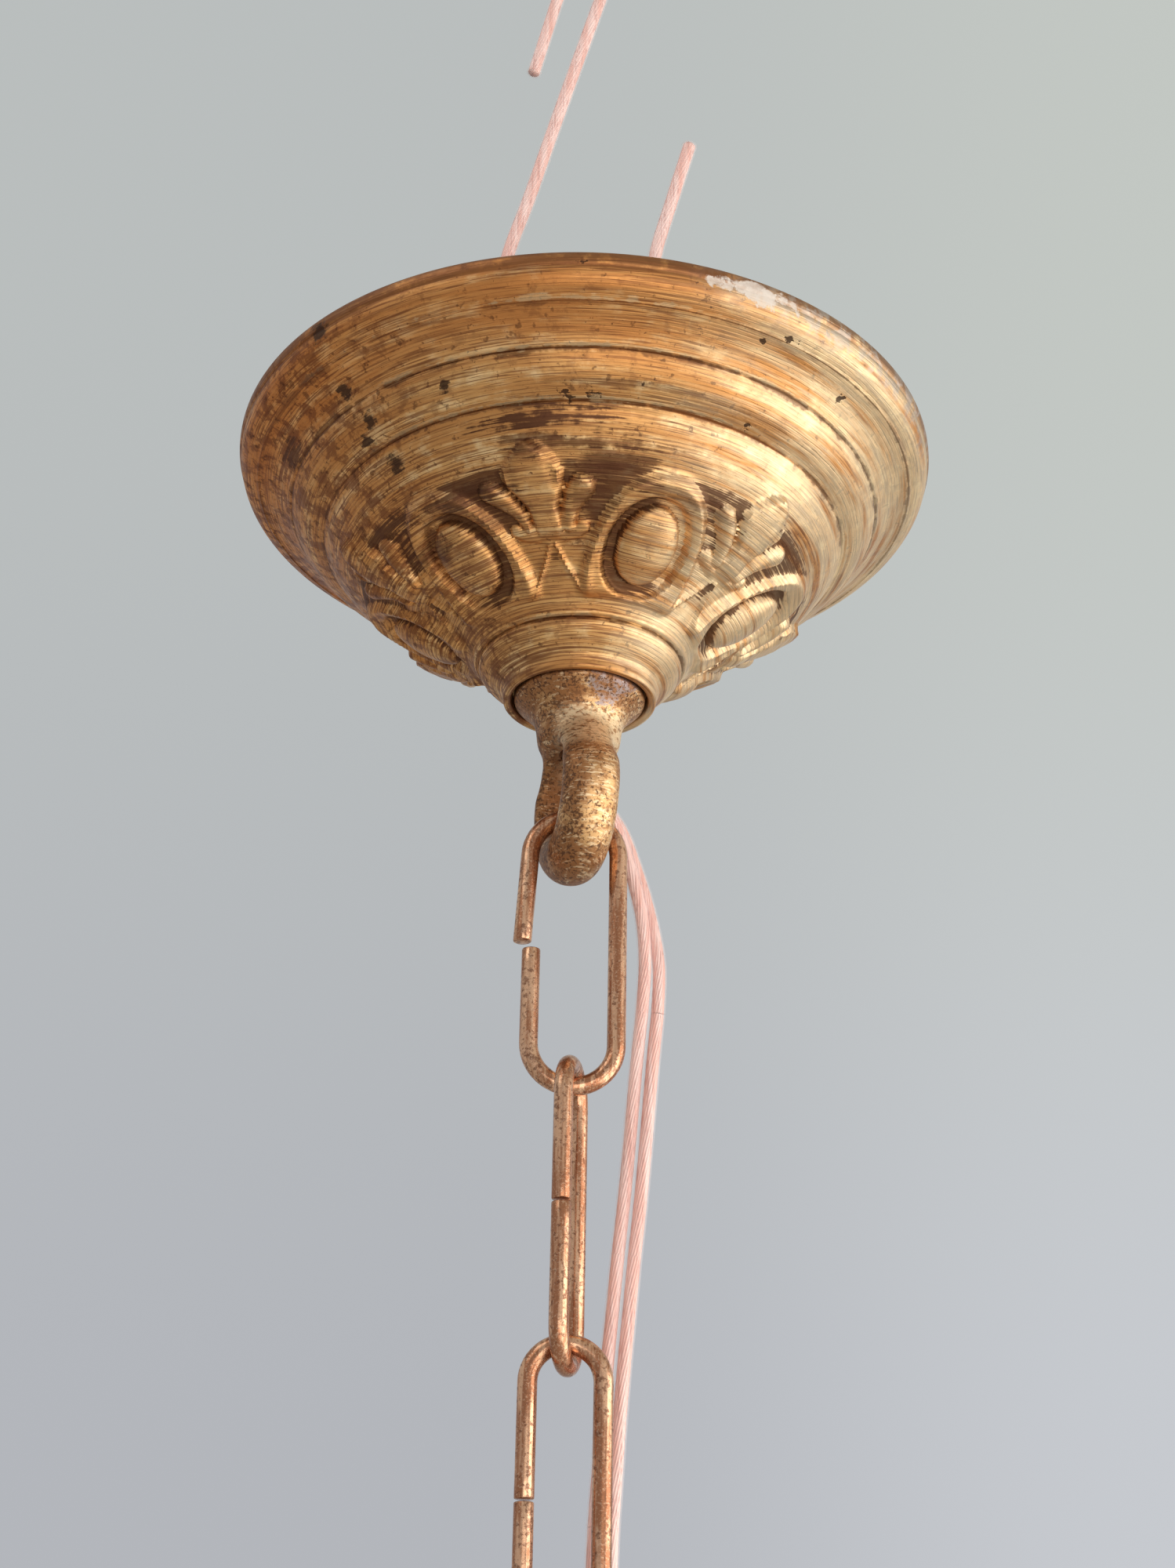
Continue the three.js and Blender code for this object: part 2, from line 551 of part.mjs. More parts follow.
// The lower loop and the lamp's stem, hung from the last link's bottom bar
const hanging = new THREE.Group();
const { mesh: lampLoop, foot, eyeLow } = makeLampLoop();
const lampStemLow = foot - 12;
hanging.position.z = firstTop - 2 * pitch - LINK_HEIGHT + WIRE_R;
hanging.add(
  lampLoop,
  makeTube('lamp_nipple', STEM_R, STEM_BORE, lampStemLow, foot + 4.2, steel),
  makeTube('lamp_washer', WASHER_R, STEM_HOLE, foot - 6.6, foot - 6.6 + WASHER, steel),
  makeNut('lamp_nut', foot - 6.6 - GAP - NUT_HEIGHT, NUT_FLATS, NUT_HEIGHT, STEM_HOLE, steel),
  makeStraightFlex('flex_in_lamp', lampStemLow + 1, eyeLow - 0.4),
);
lamp.add(hanging);

export default lamp;
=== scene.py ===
# Ceiling suspension of a pendant lamp: gilt canopy, cast loop, wire chain and clear twin flex
import math
import bpy
from mathutils import Matrix, Vector, noise


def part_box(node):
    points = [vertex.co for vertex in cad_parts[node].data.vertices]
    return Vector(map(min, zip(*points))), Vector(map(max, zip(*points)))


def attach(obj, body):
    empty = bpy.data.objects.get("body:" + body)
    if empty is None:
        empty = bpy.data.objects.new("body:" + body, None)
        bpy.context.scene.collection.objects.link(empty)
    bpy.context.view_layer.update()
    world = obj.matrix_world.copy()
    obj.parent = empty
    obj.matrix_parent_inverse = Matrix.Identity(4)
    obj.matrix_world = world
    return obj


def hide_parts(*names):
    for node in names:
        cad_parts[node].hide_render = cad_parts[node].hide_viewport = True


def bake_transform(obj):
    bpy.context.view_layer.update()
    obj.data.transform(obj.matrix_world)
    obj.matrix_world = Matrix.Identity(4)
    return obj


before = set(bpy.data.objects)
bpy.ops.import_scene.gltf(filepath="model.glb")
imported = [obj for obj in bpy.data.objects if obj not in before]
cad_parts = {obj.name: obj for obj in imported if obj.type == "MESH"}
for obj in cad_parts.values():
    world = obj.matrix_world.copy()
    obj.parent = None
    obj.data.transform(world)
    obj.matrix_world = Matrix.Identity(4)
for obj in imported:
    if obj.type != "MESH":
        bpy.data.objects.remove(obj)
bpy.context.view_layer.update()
mm = 0.001
rad = math.radians
fullTurn = 2 * math.pi
weldGap = 0.002 * mm  # points nearer than this are merged


# Small sums

def clamp(value, low=0.0, high=1.0):
    return max(low, min(high, value))


def smooth(value, low, high):
    t = clamp((value - low) / (high - low))
    return t * t * (3 - 2 * t)


def lerp(a, b, t):
    return a + (b - a) * t


def between(value, table):
    # reads a given table of (where, how much) with straight lines between its rows
    if value <= table[0][0]:
        return table[0][1]
    for (a, low), (b, high) in zip(table, table[1:]):
        if value <= b:
            return lerp(low, high, (value - a) / (b - a))
    return table[-1][1]


def smoothLine(points, step):
    # rounds a line of given points, with new points about a step apart
    ends = [points[0]] + points + [points[-1]]
    made = []
    for i in range(1, len(ends) - 2):
        p0, p1, p2, p3 = ends[i - 1:i + 3]
        pieces = max(1, math.ceil(math.dist(p1[:3], p2[:3]) / step))
        for k in range(pieces):
            t = k / pieces
            made.append(tuple(
                0.5 * (2 * b + (c - a) * t + (2 * a - 5 * b + 4 * c - d) * t * t
                       + (3 * b - a - 3 * c + d) * t ** 3)
                for a, b, c, d in zip(p0, p1, p2, p3)
            ))
    return made + [points[-1]]


# Camera at the photograph's place

cameraLook = {
    "lens": 51.3, "sensor": 36, "clipStart": 0.01, "pitch": 26.46, "roll": 1.05,
    "place": (0.0016, -0.328, -0.2242),
}


def placeCamera():
    look = cameraLook
    data = bpy.data.cameras.new("photoCamera")
    data.sensor_fit = "VERTICAL"
    data.sensor_height = look["sensor"]
    data.lens = look["lens"]
    data.clip_start = look["clipStart"]
    camera = bpy.data.objects.new("photoCamera", data)
    bpy.context.scene.collection.objects.link(camera)
    tilt = Matrix.Rotation(rad(90 + look["pitch"]), 4, "X") @ Matrix.Rotation(rad(look["roll"]), 4, "Z")
    camera.matrix_world = Matrix.Translation(look["place"]) @ tilt
    bpy.context.scene.camera = camera


placeCamera()
print("camera placed")


# Flex and conductors: clear sheaths round stranded copper cores

flexLook = {
    "width": 5.1, "coreApart": 2.5, "sheathRadius": 1.3, "sheathSides": 28, "halfSides": 16, "halfAngle": 150,
    "coreRadius": 0.88, "strands": 14, "strandDepth": 0.14, "strandSides": 4, "twist": 40, "step": 0.8,
}

# X, Y, Z and the turn of the flat side away from the front in degrees, as in the part's own source
flexRoute = [
    (0, 0, -54.6, 90), (0, 0, -56.8, 90), (1, 0.7, -59.8, 88), (3.1, 2.2, -62.4, 80), (5.4, 3.8, -64.6, 72),
    (7.3, 5, -67.8, 64), (8.8, 5.6, -72, 60), (10.5, 6.1, -77.6, 56), (11.8, 6.6, -83.4, 48),
    (12.5, 7, -90.2, 26), (12.2, 7.5, -98, 8), (11.5, 8, -105.6, 0), (10.9, 8.2, -113.2, 0),
    (10.3, 8.2, -121, 0), (9.6, 8.2, -129, 0), (8.8, 8.1, -137, 0), (8.1, 8, -145, 0), (7.4, 7.8, -153, 0),
    (6.8, 7.5, -161, 0),
    (6.3, 7.1, -169, 0), (5.8, 6.6, -177, 0), (5.6, 6, -185, 4), (5.8, 5.1, -193, 22), (5.1, 3.7, -199, 52),
    (3.2, 2.2, -203, 76), (1, 0.7, -206, 90), (0, 0, -208.8, 90), (0, 0, -210.6, 90),
]
flexCuts = [0, 10, 15, 20, 27]
flexBodies = [
    ("canopy", "link_1", (0, 0, -0.064), (0.0, 0, -0.096)),
    ("link_1", "link_2", (0, 0, -0.099), (0, 0, -0.135)),
    ("link_2", "link_3", (0, 0, -0.138), (0, 0, -0.175)),
    ("link_3", "lamp_loop", (0, 0, -0.178), (0, 0, -0.203)),
]
longRoute = [
    (0, -1.5, -16.5), (0, -1.6, -15.2), (-0.4, -2.8, -13.2), (-1.6, -6, -11.6), (-3.6, -11, -10.6),
    (-7, -19, -9.6), (-10.8, -28.6, -8), (-13.4, -37.4, -4.2), (-14.3, -43, 2.2), (-12.6, -45, 11.5),
    (-9.6, -45, 23), (-5.7, -45, 39), (-1.8, -45, 54.5), (1.3, -45, 66.7), (3.5, -44.6, 75), (4, -43, 82),
    (2.4, -40, 87.4), (-0.8, -36.6, 88.8), (-4, -34, 86), (-6.2, -33, 79.5), (-8.2, -33, 70.4),
    (-10.1, -33, 61.5),
]
shortRoute = [
    (0, 1.5, -16.5), (0.1, 1.5, -15.1), (1.5, 1.1, -13.5), (3.6, -0.8, -12.8), (5, -5, -12.2),
    (6.2, -12, -11.2), (7.8, -22, -9.8), (9.2, -32, -7.4), (10, -40, -2.6), (10.4, -44.2, 4.6),
    (11, -45, 12), (13.6, -45, 23), (16.5, -45, 34.6),
]
# Straight runs inside the two stems, with their lower and upper ends
stemRuns = [
    ("flexInStem", "flex_in_stem", "canopy", -54.45, -16.8),
    ("flexInLamp", "flex_in_lamp", "lamp_loop", -232.16, -210.75),
]


def meshFrom(name, points, faces):
    data = bpy.data.meshes.new(name)
    data.from_pydata([tuple(c * mm for c in p) for p in points], [], faces)
    data.update()
    piece = bpy.data.objects.new(name, data)
    bpy.context.scene.collection.objects.link(piece)
    for polygon in data.polygons:
        polygon.use_smooth = True
    return piece


def heading(stations, i):
    return (stations[min(i + 1, len(stations) - 1)] - stations[max(i - 1, 0)]).normalized()


def squareTo(along, side):
    return (side - along * along.dot(side)).normalized()


def flatSide(row):
    # a single conductor is round, so its rows give no turn
    if len(row) == 3:
        return Vector((1, 0.2, 0))
    return Vector((math.cos(rad(row[3])), math.sin(rad(row[3])), 0))


def sweep(mesh, slot, stations, sides, section, twist=0.0, capped=True):
    # carries a closed section along the stations: its rows are a middle, a reach from it and an angle
    points, faces, slots = mesh
    run = 0.0
    start = len(points)
    count = len(section)
    for i, (here, side) in enumerate(zip(stations, sides)):
        along = heading(stations, i)
        across = squareTo(along, side)
        up = along.cross(across)
        if i:
            run += (here - stations[i - 1]).length
        turn = twist and run / twist * fullTurn
        for middle, reach, angle in section:
            a = angle + turn
            points.append(here + across * (middle + reach * math.cos(a)) + up * (reach * math.sin(a)))
    for i in range(len(stations) - 1):
        for k in range(count):
            a, b = start + i * count + k, start + i * count + (k + 1) % count
            faces.append((a, b, b + count, a + count))
            slots.append(slot)
    if capped:
        last = start + (len(stations) - 1) * count
        faces.append(tuple(start + k for k in reversed(range(count))))
        faces.append(tuple(last + k for k in range(count)))
        slots.extend([slot, slot])


def coreSection():
    # the strands show as rounds about the core
    look = flexLook
    strands, depth = look["strands"], look["strandDepth"]
    sides = strands * look["strandSides"]
    return [
        (0, look["coreRadius"] + depth * abs(math.cos(k / sides * strands * math.pi)), k / sides * fullTurn)
        for k in range(sides)
    ]


def twinSheath():
    # two touching rounds with a shallow valley between them
    look = flexLook
    half, sides, angle = look["coreApart"] / 2, look["halfSides"], look["halfAngle"]
    return [
        ((1 - 2 * side) * half, look["sheathRadius"], rad(-angle + 2 * angle * k / sides) + side * math.pi)
        for side in (0, 1) for k in range(sides + 1)
    ]


def roundSheath():
    sides = flexLook["sheathSides"]
    return [(0, flexLook["sheathRadius"], k / sides * fullTurn) for k in range(sides)]


def makeCord(name, node, rows, sheath, cores, coreBack, capped=True):
    # a clear sheath with a stranded core at each of the given distances from its middle
    mesh = points, faces, slots = [], [], []
    dense = smoothLine(rows, flexLook["step"])
    stations = [Vector(row[:3]) for row in dense]
    across = [flatSide(row) for row in dense]
    sweep(mesh, 0, stations, across, sheath, capped=capped)
    inner = [s.copy() for s in stations]
    inner[0] += (inner[1] - inner[0]).normalized() * coreBack
    inner[-1] += (inner[-2] - inner[-1]).normalized() * coreBack
    for middle in cores:
        # each core turns about its own middle, so that the strands twist in place
        shifted = [s + squareTo(heading(inner, i), across[i]) * middle for i, s in enumerate(inner)]
        sweep(mesh, 1, shifted, across, coreSection(), flexLook["twist"], capped)
    piece = meshFrom(name, points, faces)
    piece.data.materials.append(None)
    piece.data.materials.append(None)
    piece.data.polygons.foreach_set("material_index", slots)
    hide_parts(node)
    flexPieces.append(piece)
    length = sum((b - a).length for a, b in zip(stations, stations[1:]))
    return piece, [s * mm for s in stations], length * mm


flexPieces = []
twinCores = (-flexLook["coreApart"] / 2, flexLook["coreApart"] / 2)
for number, (bodyA, bodyB, start, end) in enumerate(flexBodies, 1):
    rows = flexRoute[flexCuts[number - 1]:flexCuts[number] + 1]
    piece, path, length = makeCord(
        f"flexStretch{number}", f"flex_{number}", rows, twinSheath(), twinCores, 0, False,
    )
    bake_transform(piece)

for name, node, rows in (
    ("conductorLong", "conductor_long", longRoute), ("conductorShort", "conductor_short", shortRoute),
):
    piece, path, length = makeCord(name, node, rows, roundSheath(), (0,), 0.03)
    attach(piece, "canopy")

for name, node, body, low, high in stemRuns:
    rows = [(0, 0, z, 90) for z in (high, (low + high) / 2, low)]
    piece = makeCord(name, node, rows, twinSheath(), twinCores, 0.05)[0]
    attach(piece, body)
print("flex and conductors made")


# Modelling helpers

def deselect():
    if bpy.context.object and bpy.context.object.mode != "OBJECT":
        bpy.ops.object.mode_set(mode="OBJECT")
    bpy.ops.object.select_all(action="DESELECT")


def activate(piece):
    deselect()
    piece.select_set(True)
    bpy.context.view_layer.objects.active = piece


def mergeDoubles():
    bpy.ops.mesh.select_all(action="SELECT")
    bpy.ops.mesh.remove_doubles(threshold=weldGap)
    bpy.ops.mesh.select_all(action="SELECT")


def faceOutwards():
    # turns the faces outwards and leaves edit mode
    bpy.ops.mesh.select_all(action="SELECT")
    bpy.ops.mesh.normals_make_consistent(inside=False)
    bpy.ops.object.mode_set(mode="OBJECT")


def startLine(name, r, z):
    # one vertex: a small plane merged to its middle and moved to the outline's first point
    deselect()
    bpy.ops.mesh.primitive_plane_add(size=mm, location=(0, 0, 0))
    piece = bpy.context.object
    piece.name = piece.data.name = name
    bpy.ops.object.mode_set(mode="EDIT")
    bpy.ops.mesh.select_mode(type="VERT")
    bpy.ops.mesh.select_all(action="SELECT")
    bpy.ops.mesh.merge(type="CENTER")
    bpy.ops.transform.translate(value=(r * mm, 0, z * mm))
    return piece


def turnOutline(name, outline, steps):
    # extrudes a closed outline of (radius, height) from point to point, and spins it round the plumb line
    piece = startLine(name, *outline[0])
    for (r0, z0), (r1, z1) in zip(outline, outline[1:] + outline[:1]):
        move = ((r1 - r0) * mm, 0, (z1 - z0) * mm)
        bpy.ops.mesh.extrude_region_move(TRANSFORM_OT_translate={"value": move})
    mergeDoubles()
    bpy.ops.mesh.spin(steps=steps, angle=fullTurn, center=(0, 0, 0), axis=(0, 0, 1))
    mergeDoubles()
    faceOutwards()
    return piece


def shadeRound(piece, angle):
    activate(piece)
    bpy.ops.object.shade_smooth_by_angle(angle=rad(angle))


def settle(piece, body, node, finish):
    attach(piece, body)
    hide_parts(node)
    piece.data.materials.clear()
    piece.data.materials.append(finish)


def applyModifier(piece, kind, settings):
    activate(piece)
    modifier = piece.modifiers.new(kind.title(), kind)
    for key, value in settings.items():
        setattr(modifier, key, value)
    bpy.ops.object.modifier_apply(modifier=modifier.name)


def easeEdges(piece, width, angle):
    applyModifier(piece, "BEVEL", {
        "width": width * mm, "segments": 2, "limit_method": "ANGLE", "angle_limit": rad(angle),
    })


# Canopy

canopyLook = {
    "turns": 400, "bowlStep": 0.32, "bowl": (18.4, 41.4), "motifs": 6, "leafAzimuth": -9.3,
    "frontStretch": 4.8, "eggHeight": 2.3, "frameHeight": 1.15, "rolledHeight": 0.45, "leafHeight": 1.5,
    "leafLean": 1.7, "ribHeight": 0.55, "hollow": 0.55, "wobble": 0.1, "roundBelow": 38,
    # half-width, half-length, middle radius and fullness of the ovals
    "egg": (4.6, 5.8, 27.3, 2.0), "hole": (5.8, 6.9, 27.2, 2.2), "frame": (9.2, 12.5, 26.5, 2.3),
}
bowlSlope = (0.62, 0.78)  # how far the bowl's face looks outwards and downwards

# The canopy's outer face from the lip up to the rim, in runs that meet in a sharp corner. Each run has the
# distance between its made points, then the listed ones.
outerStart = (11.3, -43.9)
outerRuns = [
    (0.25, [(11.35, -45.3), (11.6, -45.85), (12.1, -46.1)]),
    (0.4, [
        (12.6, -46.0), (12.85, -45.5), (12.95, -44.5), (13.4, -43.6), (14.5, -42.7), (15.8, -41.6),
        (16.7, -40.6), (17.05, -39.8), (16.9, -39.1),
    ]),
    (0.25, [(17.5, -39.0), (17.85, -38.75), (17.95, -38.45)]),
    (0.25, [(17.85, -38.3), (18.2, -37.95)]),
    (canopyLook["bowlStep"], [
        (20.2, -35.95), (22.6, -33.9), (25.2, -31.95), (28.0, -30.05), (31.0, -28.15), (34.2, -26.25),
        (36.6, -24.8), (39.0, -23.0), (40.4, -21.85), (41.4, -20.8),
    ]),
    (0.6, [(42.8, -19.2), (43.9, -17.55)]),
    (0.25, [(44.2, -17.25), (44.4, -16.85), (44.25, -16.5)]),
    (0.6, [(44.9, -16.2), (46.3, -15.55), (47.9, -14.5), (49.2, -13.1), (50.1, -11.7), (50.35, -11.15)]),
    (0.25, [(50.25, -10.95), (50.7, -10.75)]),
    (0.6, [(51.8, -9.55), (53.1, -8.45), (54.7, -7.4), (56.2, -6.7)]),
    (0.25, [(56.45, -6.75), (56.7, -6.55)]),
    (0.5, [(57.6, -6.05), (58.6, -5.3), (59.3, -4.3), (59.6, -3.3), (59.65, -2.85)]),
    (0.25, [(59.68, -2.6), (59.85, -2.4)]),
    (0.3, [(60.0, -1.9), (60.0, -1.0), (59.8, -0.4), (59.3, -0.06), (58.8, 0.0)]),
]
innerRun = [
    (58.3, -0.12), (57.95, -0.6), (57.9, -2.6), (55.8, -5.2), (49.2, -9.4), (43.2, -15.6), (40.2, -19.2),
    (34.4, -22.9), (28.6, -26.6), (22.6, -31.8), (16.6, -37), (15.6, -40), (13.4, -42), (5.2, -42),
    (5.2, -43.6), (11.3, -43.6),
]
innerFace = sorted((r, z) for r, z in innerRun if z < -0.1 and r > 13)

# Half-widths of a leaf's middle lobe at each radius
leafWidths = [
    (25.4, 1.6), (27.6, 2.3), (28.8, 2.6), (30.5, 2.6), (32.2, 2.7), (33.6, 3.4), (35.2, 4.3), (36.8, 4.8),
    (38.0, 4.5), (39.2, 3.6), (40.2, 2.5), (41.0, 1.2), (41.3, 0.2),
]
# Bent lines of (distance from the leaf's middle, radius)
sideLobe = [(2.8, 28.9), (3.8, 31.6), (5.2, 33.5), (7.1, 35.2)]
wingLobe = [(2.0, 27.4), (3.6, 27.9), (5.0, 28.9)]
notch = [(2.6, 39.4), (3.1, 36.8), (3.0, 34.0)]
stalkRib = [(0.45, 26.3), (1.5, 23.6), (3.3, 20.2)]
# Radii between which each part of the relief and of its dirt begins or ends
fades = {
    "lean": (27.5, 40), "frame": (18.8, 20.6), "leaf": (25.4, 29.6), "notch": (33.5, 35.5),
    "stalk": (19.8, 20.8), "ground": (27.5, 29), "groundEnd": (37.5, 39.5), "cut": (33, 34.5),
    "fork": (22.6, 24.2), "forkEnd": (25.8, 27.0),
}


def nearest(azimuth, first):
    pitch = 360 / canopyLook["motifs"]
    return (azimuth - first + pitch / 2) % pitch - pitch / 2


def ovalReach(side, r, width, length, middle, fullness):
    # 1 on the oval's edge, 0 in its middle
    return (abs(side / width) ** fullness + abs((r - middle) / length) ** fullness) ** (1 / fullness)


def lineDistance(x, y, line):
    # how far a point lies from a bent line, and how far along the line that is from 0 to 1
    best, where = 1e9, 0.0
    for i, ((x0, y0), (x1, y1)) in enumerate(zip(line, line[1:])):
        dx, dy = x1 - x0, y1 - y0
        t = clamp(((x - x0) * dx + (y - y0) * dy) / (dx * dx + dy * dy))
        d = math.hypot(x - x0 - t * dx, y - y0 - t * dy)
        if d < best:
            best, where = d, (i + t) / (len(line) - 1)
    return best, where


def lobe(x, y, line, narrow, wide):
    # a rounded tongue along a bent line, from its narrow root to its wide tip: 1 on its crest, 0 outside
    d, where = lineDistance(x, y, line)
    reach = d / lerp(narrow, wide, smooth(where, 0, 0.8))
    return math.sqrt(max(0.0, 1 - reach * reach))


def eggRelief(stamped, r):
    # lift of an egg in its frame, the frame's band alone, the hole round the egg, and the dirt and painted
    # shade in the hole
    look = canopyLook
    side = rad(nearest(stamped, look["leafAzimuth"] + 180 / look["motifs"])) * r
    egg = look["eggHeight"] * math.sqrt(max(0.0, 1 - ovalReach(side, r, *look["egg"]) ** 2)) ** 0.9
    hole = 1 - smooth(ovalReach(side, r, *look["hole"]), 1, 1.13)
    outer = ovalReach(side, r, *look["frame"])
    rolled = look["rolledHeight"] * math.exp(-((outer - 0.86) / 0.09) ** 2)
    band = look["frameHeight"] * (0.75 + 0.25 * smooth(outer, 0.6, 0.9)) + rolled
    band = band * (1 - smooth(outer, 0.8, 1.0)) * (1 - hole)
    band *= smooth(r, *fades["frame"])
    lift = max(egg, band) if egg > 0 else band - look["hollow"] * hole
    # painted shade: the dark lies most on the side of each egg that faces the front leaf
    inwards = -math.copysign(1, stamped - look["leafAzimuth"]) * side / 6
    dirt = hole * (1 - smooth(egg, 0.1, 1.3)) * lerp(0.3, 1.0, smooth(inwards + (28 - r) * 0.03, -0.9, 0.4))
    return lift, band, hole, dirt


def reliefAt(azimuth, r):
    # lift over the plain bowl in mm, and how much dark colour lies in the hollow, 0 to 1
    look = canopyLook
    stamped = azimuth - look["frontStretch"] * math.sin(rad(azimuth))
    lift, band, hole, eggDirtAndShade = eggRelief(stamped, r)
    # the leaf over it, which leans a little to its left
    leafSide = rad(nearest(stamped, look["leafAzimuth"])) * r
    side = abs(leafSide + look["leafLean"] * smooth(r, *fades["lean"]))
    width = between(r, leafWidths)
    body = smooth(width - side, 0, 1.2) ** 0.7 * smooth(r, *fades["leaf"])
    body *= 1 + 0.12 * (1 - (side / max(width, 0.5)) ** 2)
    cut, _ = lineDistance(side, r, notch)
    body *= 1 - 0.22 * (1 - smooth(cut, 0.1, 0.9)) * smooth(r, *fades["notch"])
    tongue = max(lobe(side, r, sideLobe, 0.9, 1.6), 0.5 * lobe(side, r, wingLobe, 0.8, 1.0))
    leaf = look["leafHeight"] * max(body, tongue)
    if leaf > 0 and (band < 0.25 or leaf > band):
        lift = max(lift, leaf)
    rib, _ = lineDistance(abs(leafSide), r, stalkRib)
    lift += look["ribHeight"] * (1 - smooth(rib, 0.0, 0.5)) * smooth(r, *fades["stalk"])
    # dirt on the ground between leaf and frames, in the leaf's notches and in the fork of its stalk
    ground = (1 - smooth(lift, 0.1, 0.55)) * smooth(r, *fades["ground"])
    ground *= 1 - smooth(r, *fades["groundEnd"])
    ground *= 1 - hole
    cutDirt = (1 - smooth(cut, 0.1, 0.55)) * smooth(r, *fades["cut"]) * smooth(width - side, -0.3, 0.3)
    fork = (1 - smooth(abs(leafSide), 0.3, 1.3)) * smooth(r, *fades["fork"])
    fork *= 1 - smooth(r, *fades["forkEnd"])
    return lift, clamp(max(eggDirtAndShade, 0.85 * ground, 0.5 * cutDirt, 0.75 * fork))


def makeCanopy():
    look = canopyLook
    outline, corner = [], outerStart
    for step, points in outerRuns:
        outline += smoothLine([corner] + points, step)[:-1]
        corner = points[-1]
    piece = turnOutline("canopy", outline + [corner] + innerRun, look["turns"])
    hollow = piece.data.attributes.new("hollow", "FLOAT", "POINT")
    low, high = look["bowl"]
    for vertex in piece.data.vertices:
        x, y, z = (c / mm for c in vertex.co)
        r = math.hypot(x, y)
        if not (low < r < high and z < between(r, innerFace) - 0.7):
            continue
        lift, shade = reliefAt(math.degrees(math.atan2(x, -y)), r)
        edge = smooth(r, low, low + 1.2) * (1 - smooth(r, high - 0.5, high))
        lift = lift * edge + look["wobble"] * noise.noise(Vector((x, y, z)) * 0.45) * edge
        spread = (r + lift * bowlSlope[0]) / r
        vertex.co = Vector((x * spread, y * spread, z - lift * bowlSlope[1])) * mm
        hollow.data[vertex.index].value = shade * edge
    shadeRound(piece, look["roundBelow"])
    return piece


canopy = makeCanopy()
print("canopy made:", len(canopy.data.polygons), "faces")


# Cast loops

castingLook = {
    "turns": 64, "ringSides": (96, 40), "softening": 6, "melting": 220, "drillSides": 48, "holeRadius": 3.2,
    "seatRadius": 5.2, "roundBelow": 45,
}
loopLook = {
    "ringTurn": 15, "halfWidth": 9.3, "halfHeight": 11.2, "limb": 7.5, "bar": 9.3, "axial": 9.35,
    "barZ": -73.65, "shift": -0.2, "pinch": 0.4, "scoop": 0.8, "footTop": -43.9, "seatDepth": 5.6,
    "eyeWall": 3.8, "grain": 0.3, "melt": (-61, -46),
}
lampLoopLook = {
    "ringTurn": 0, "halfWidth": 8.3, "halfHeight": 9.8, "limb": 5.6, "bar": 5.6, "axial": 5.6, "shift": 0,
    "pinch": 0, "scoop": 0, "pivotZ": -197.86, "wire": 1.47, "gap": 0.3, "length": 11, "seatDepth": 4.6,
    "grain": 0.35,
}
# Radius and height above the foot of the lamp loop's neck
lampNeck = [
    (0.4, 0), (8.4, 0), (8.5, 0.2), (8.5, 1.4), (8.2, 1.9), (7.6, 2.7), (6.9, 3.8), (6.3, 5.2), (5.7, 6.8),
    (5.4, 8.4), (5.2, 10),
]


def ovalRing(name, look, barSide, middle):
    # a torus pulled to an oval, with a thick bar and limbs that are scooped out on the inside
    deselect()
    wide, thin = castingLook["ringSides"]
    bpy.ops.mesh.primitive_torus_add(
        major_radius=1, minor_radius=0.3, major_segments=wide, minor_segments=thin,
    )
    ring = bpy.context.object
    ring.name = ring.data.name = name
    for vertex in ring.data.vertices:
        x, y, z = vertex.co
        around = math.atan2(y, x)
        about = math.atan2(z, math.hypot(x, y) - 1)
        load = max(0.0, barSide * math.sin(around)) ** 1.5
        inward = max(0.0, -math.cos(about))
        scooped = 1 - look["scoop"] * inward ** 0.8 * (1 - smooth(load, 0.1, 0.6))
        reach = lerp(look["limb"], look["bar"], load) / 2 * math.cos(about) * scooped
        slope = Vector((math.cos(around) * look["halfHeight"], math.sin(around) * look["halfWidth"]))
        slope = slope.normalized()
        pinch = 1 - look["pinch"] * smooth(-barSide * math.sin(around), -0.1, 0.9)
        vertex.co = Vector((
            look["axial"] / 2 * math.sin(about),
            look["halfWidth"] * math.cos(around) * pinch + reach * slope.x,
            look["halfHeight"] * math.sin(around) + reach * slope.y,
        )) * mm
    place = Matrix.Translation((look["shift"] * mm, 0, middle * mm))
    ring.data.transform(place @ Matrix.Rotation(rad(look["ringTurn"]), 4, "Z"))
    activate(ring)
    bpy.ops.object.mode_set(mode="EDIT")
    faceOutwards()
    return ring


def joinInto(piece, other, operation):
    applyModifier(piece, "BOOLEAN", {"object": other, "operation": operation, "solver": "EXACT"})
    bpy.data.objects.remove(other)


def addPrism(sides, radius, low, high):
    # an upright cylinder or prism on the axis
    deselect()
    bpy.ops.mesh.primitive_cylinder_add(
        vertices=sides, radius=radius * mm, depth=(high - low) * mm, location=(0, 0, (low + high) / 2 * mm),
    )
    bpy.ops.object.transform_apply(location=True, rotation=True, scale=True)
    return bpy.context.object


def drill(piece, radius, low, high):
    joinInto(piece, addPrism(castingLook["drillSides"], radius, low, high), "DIFFERENCE")


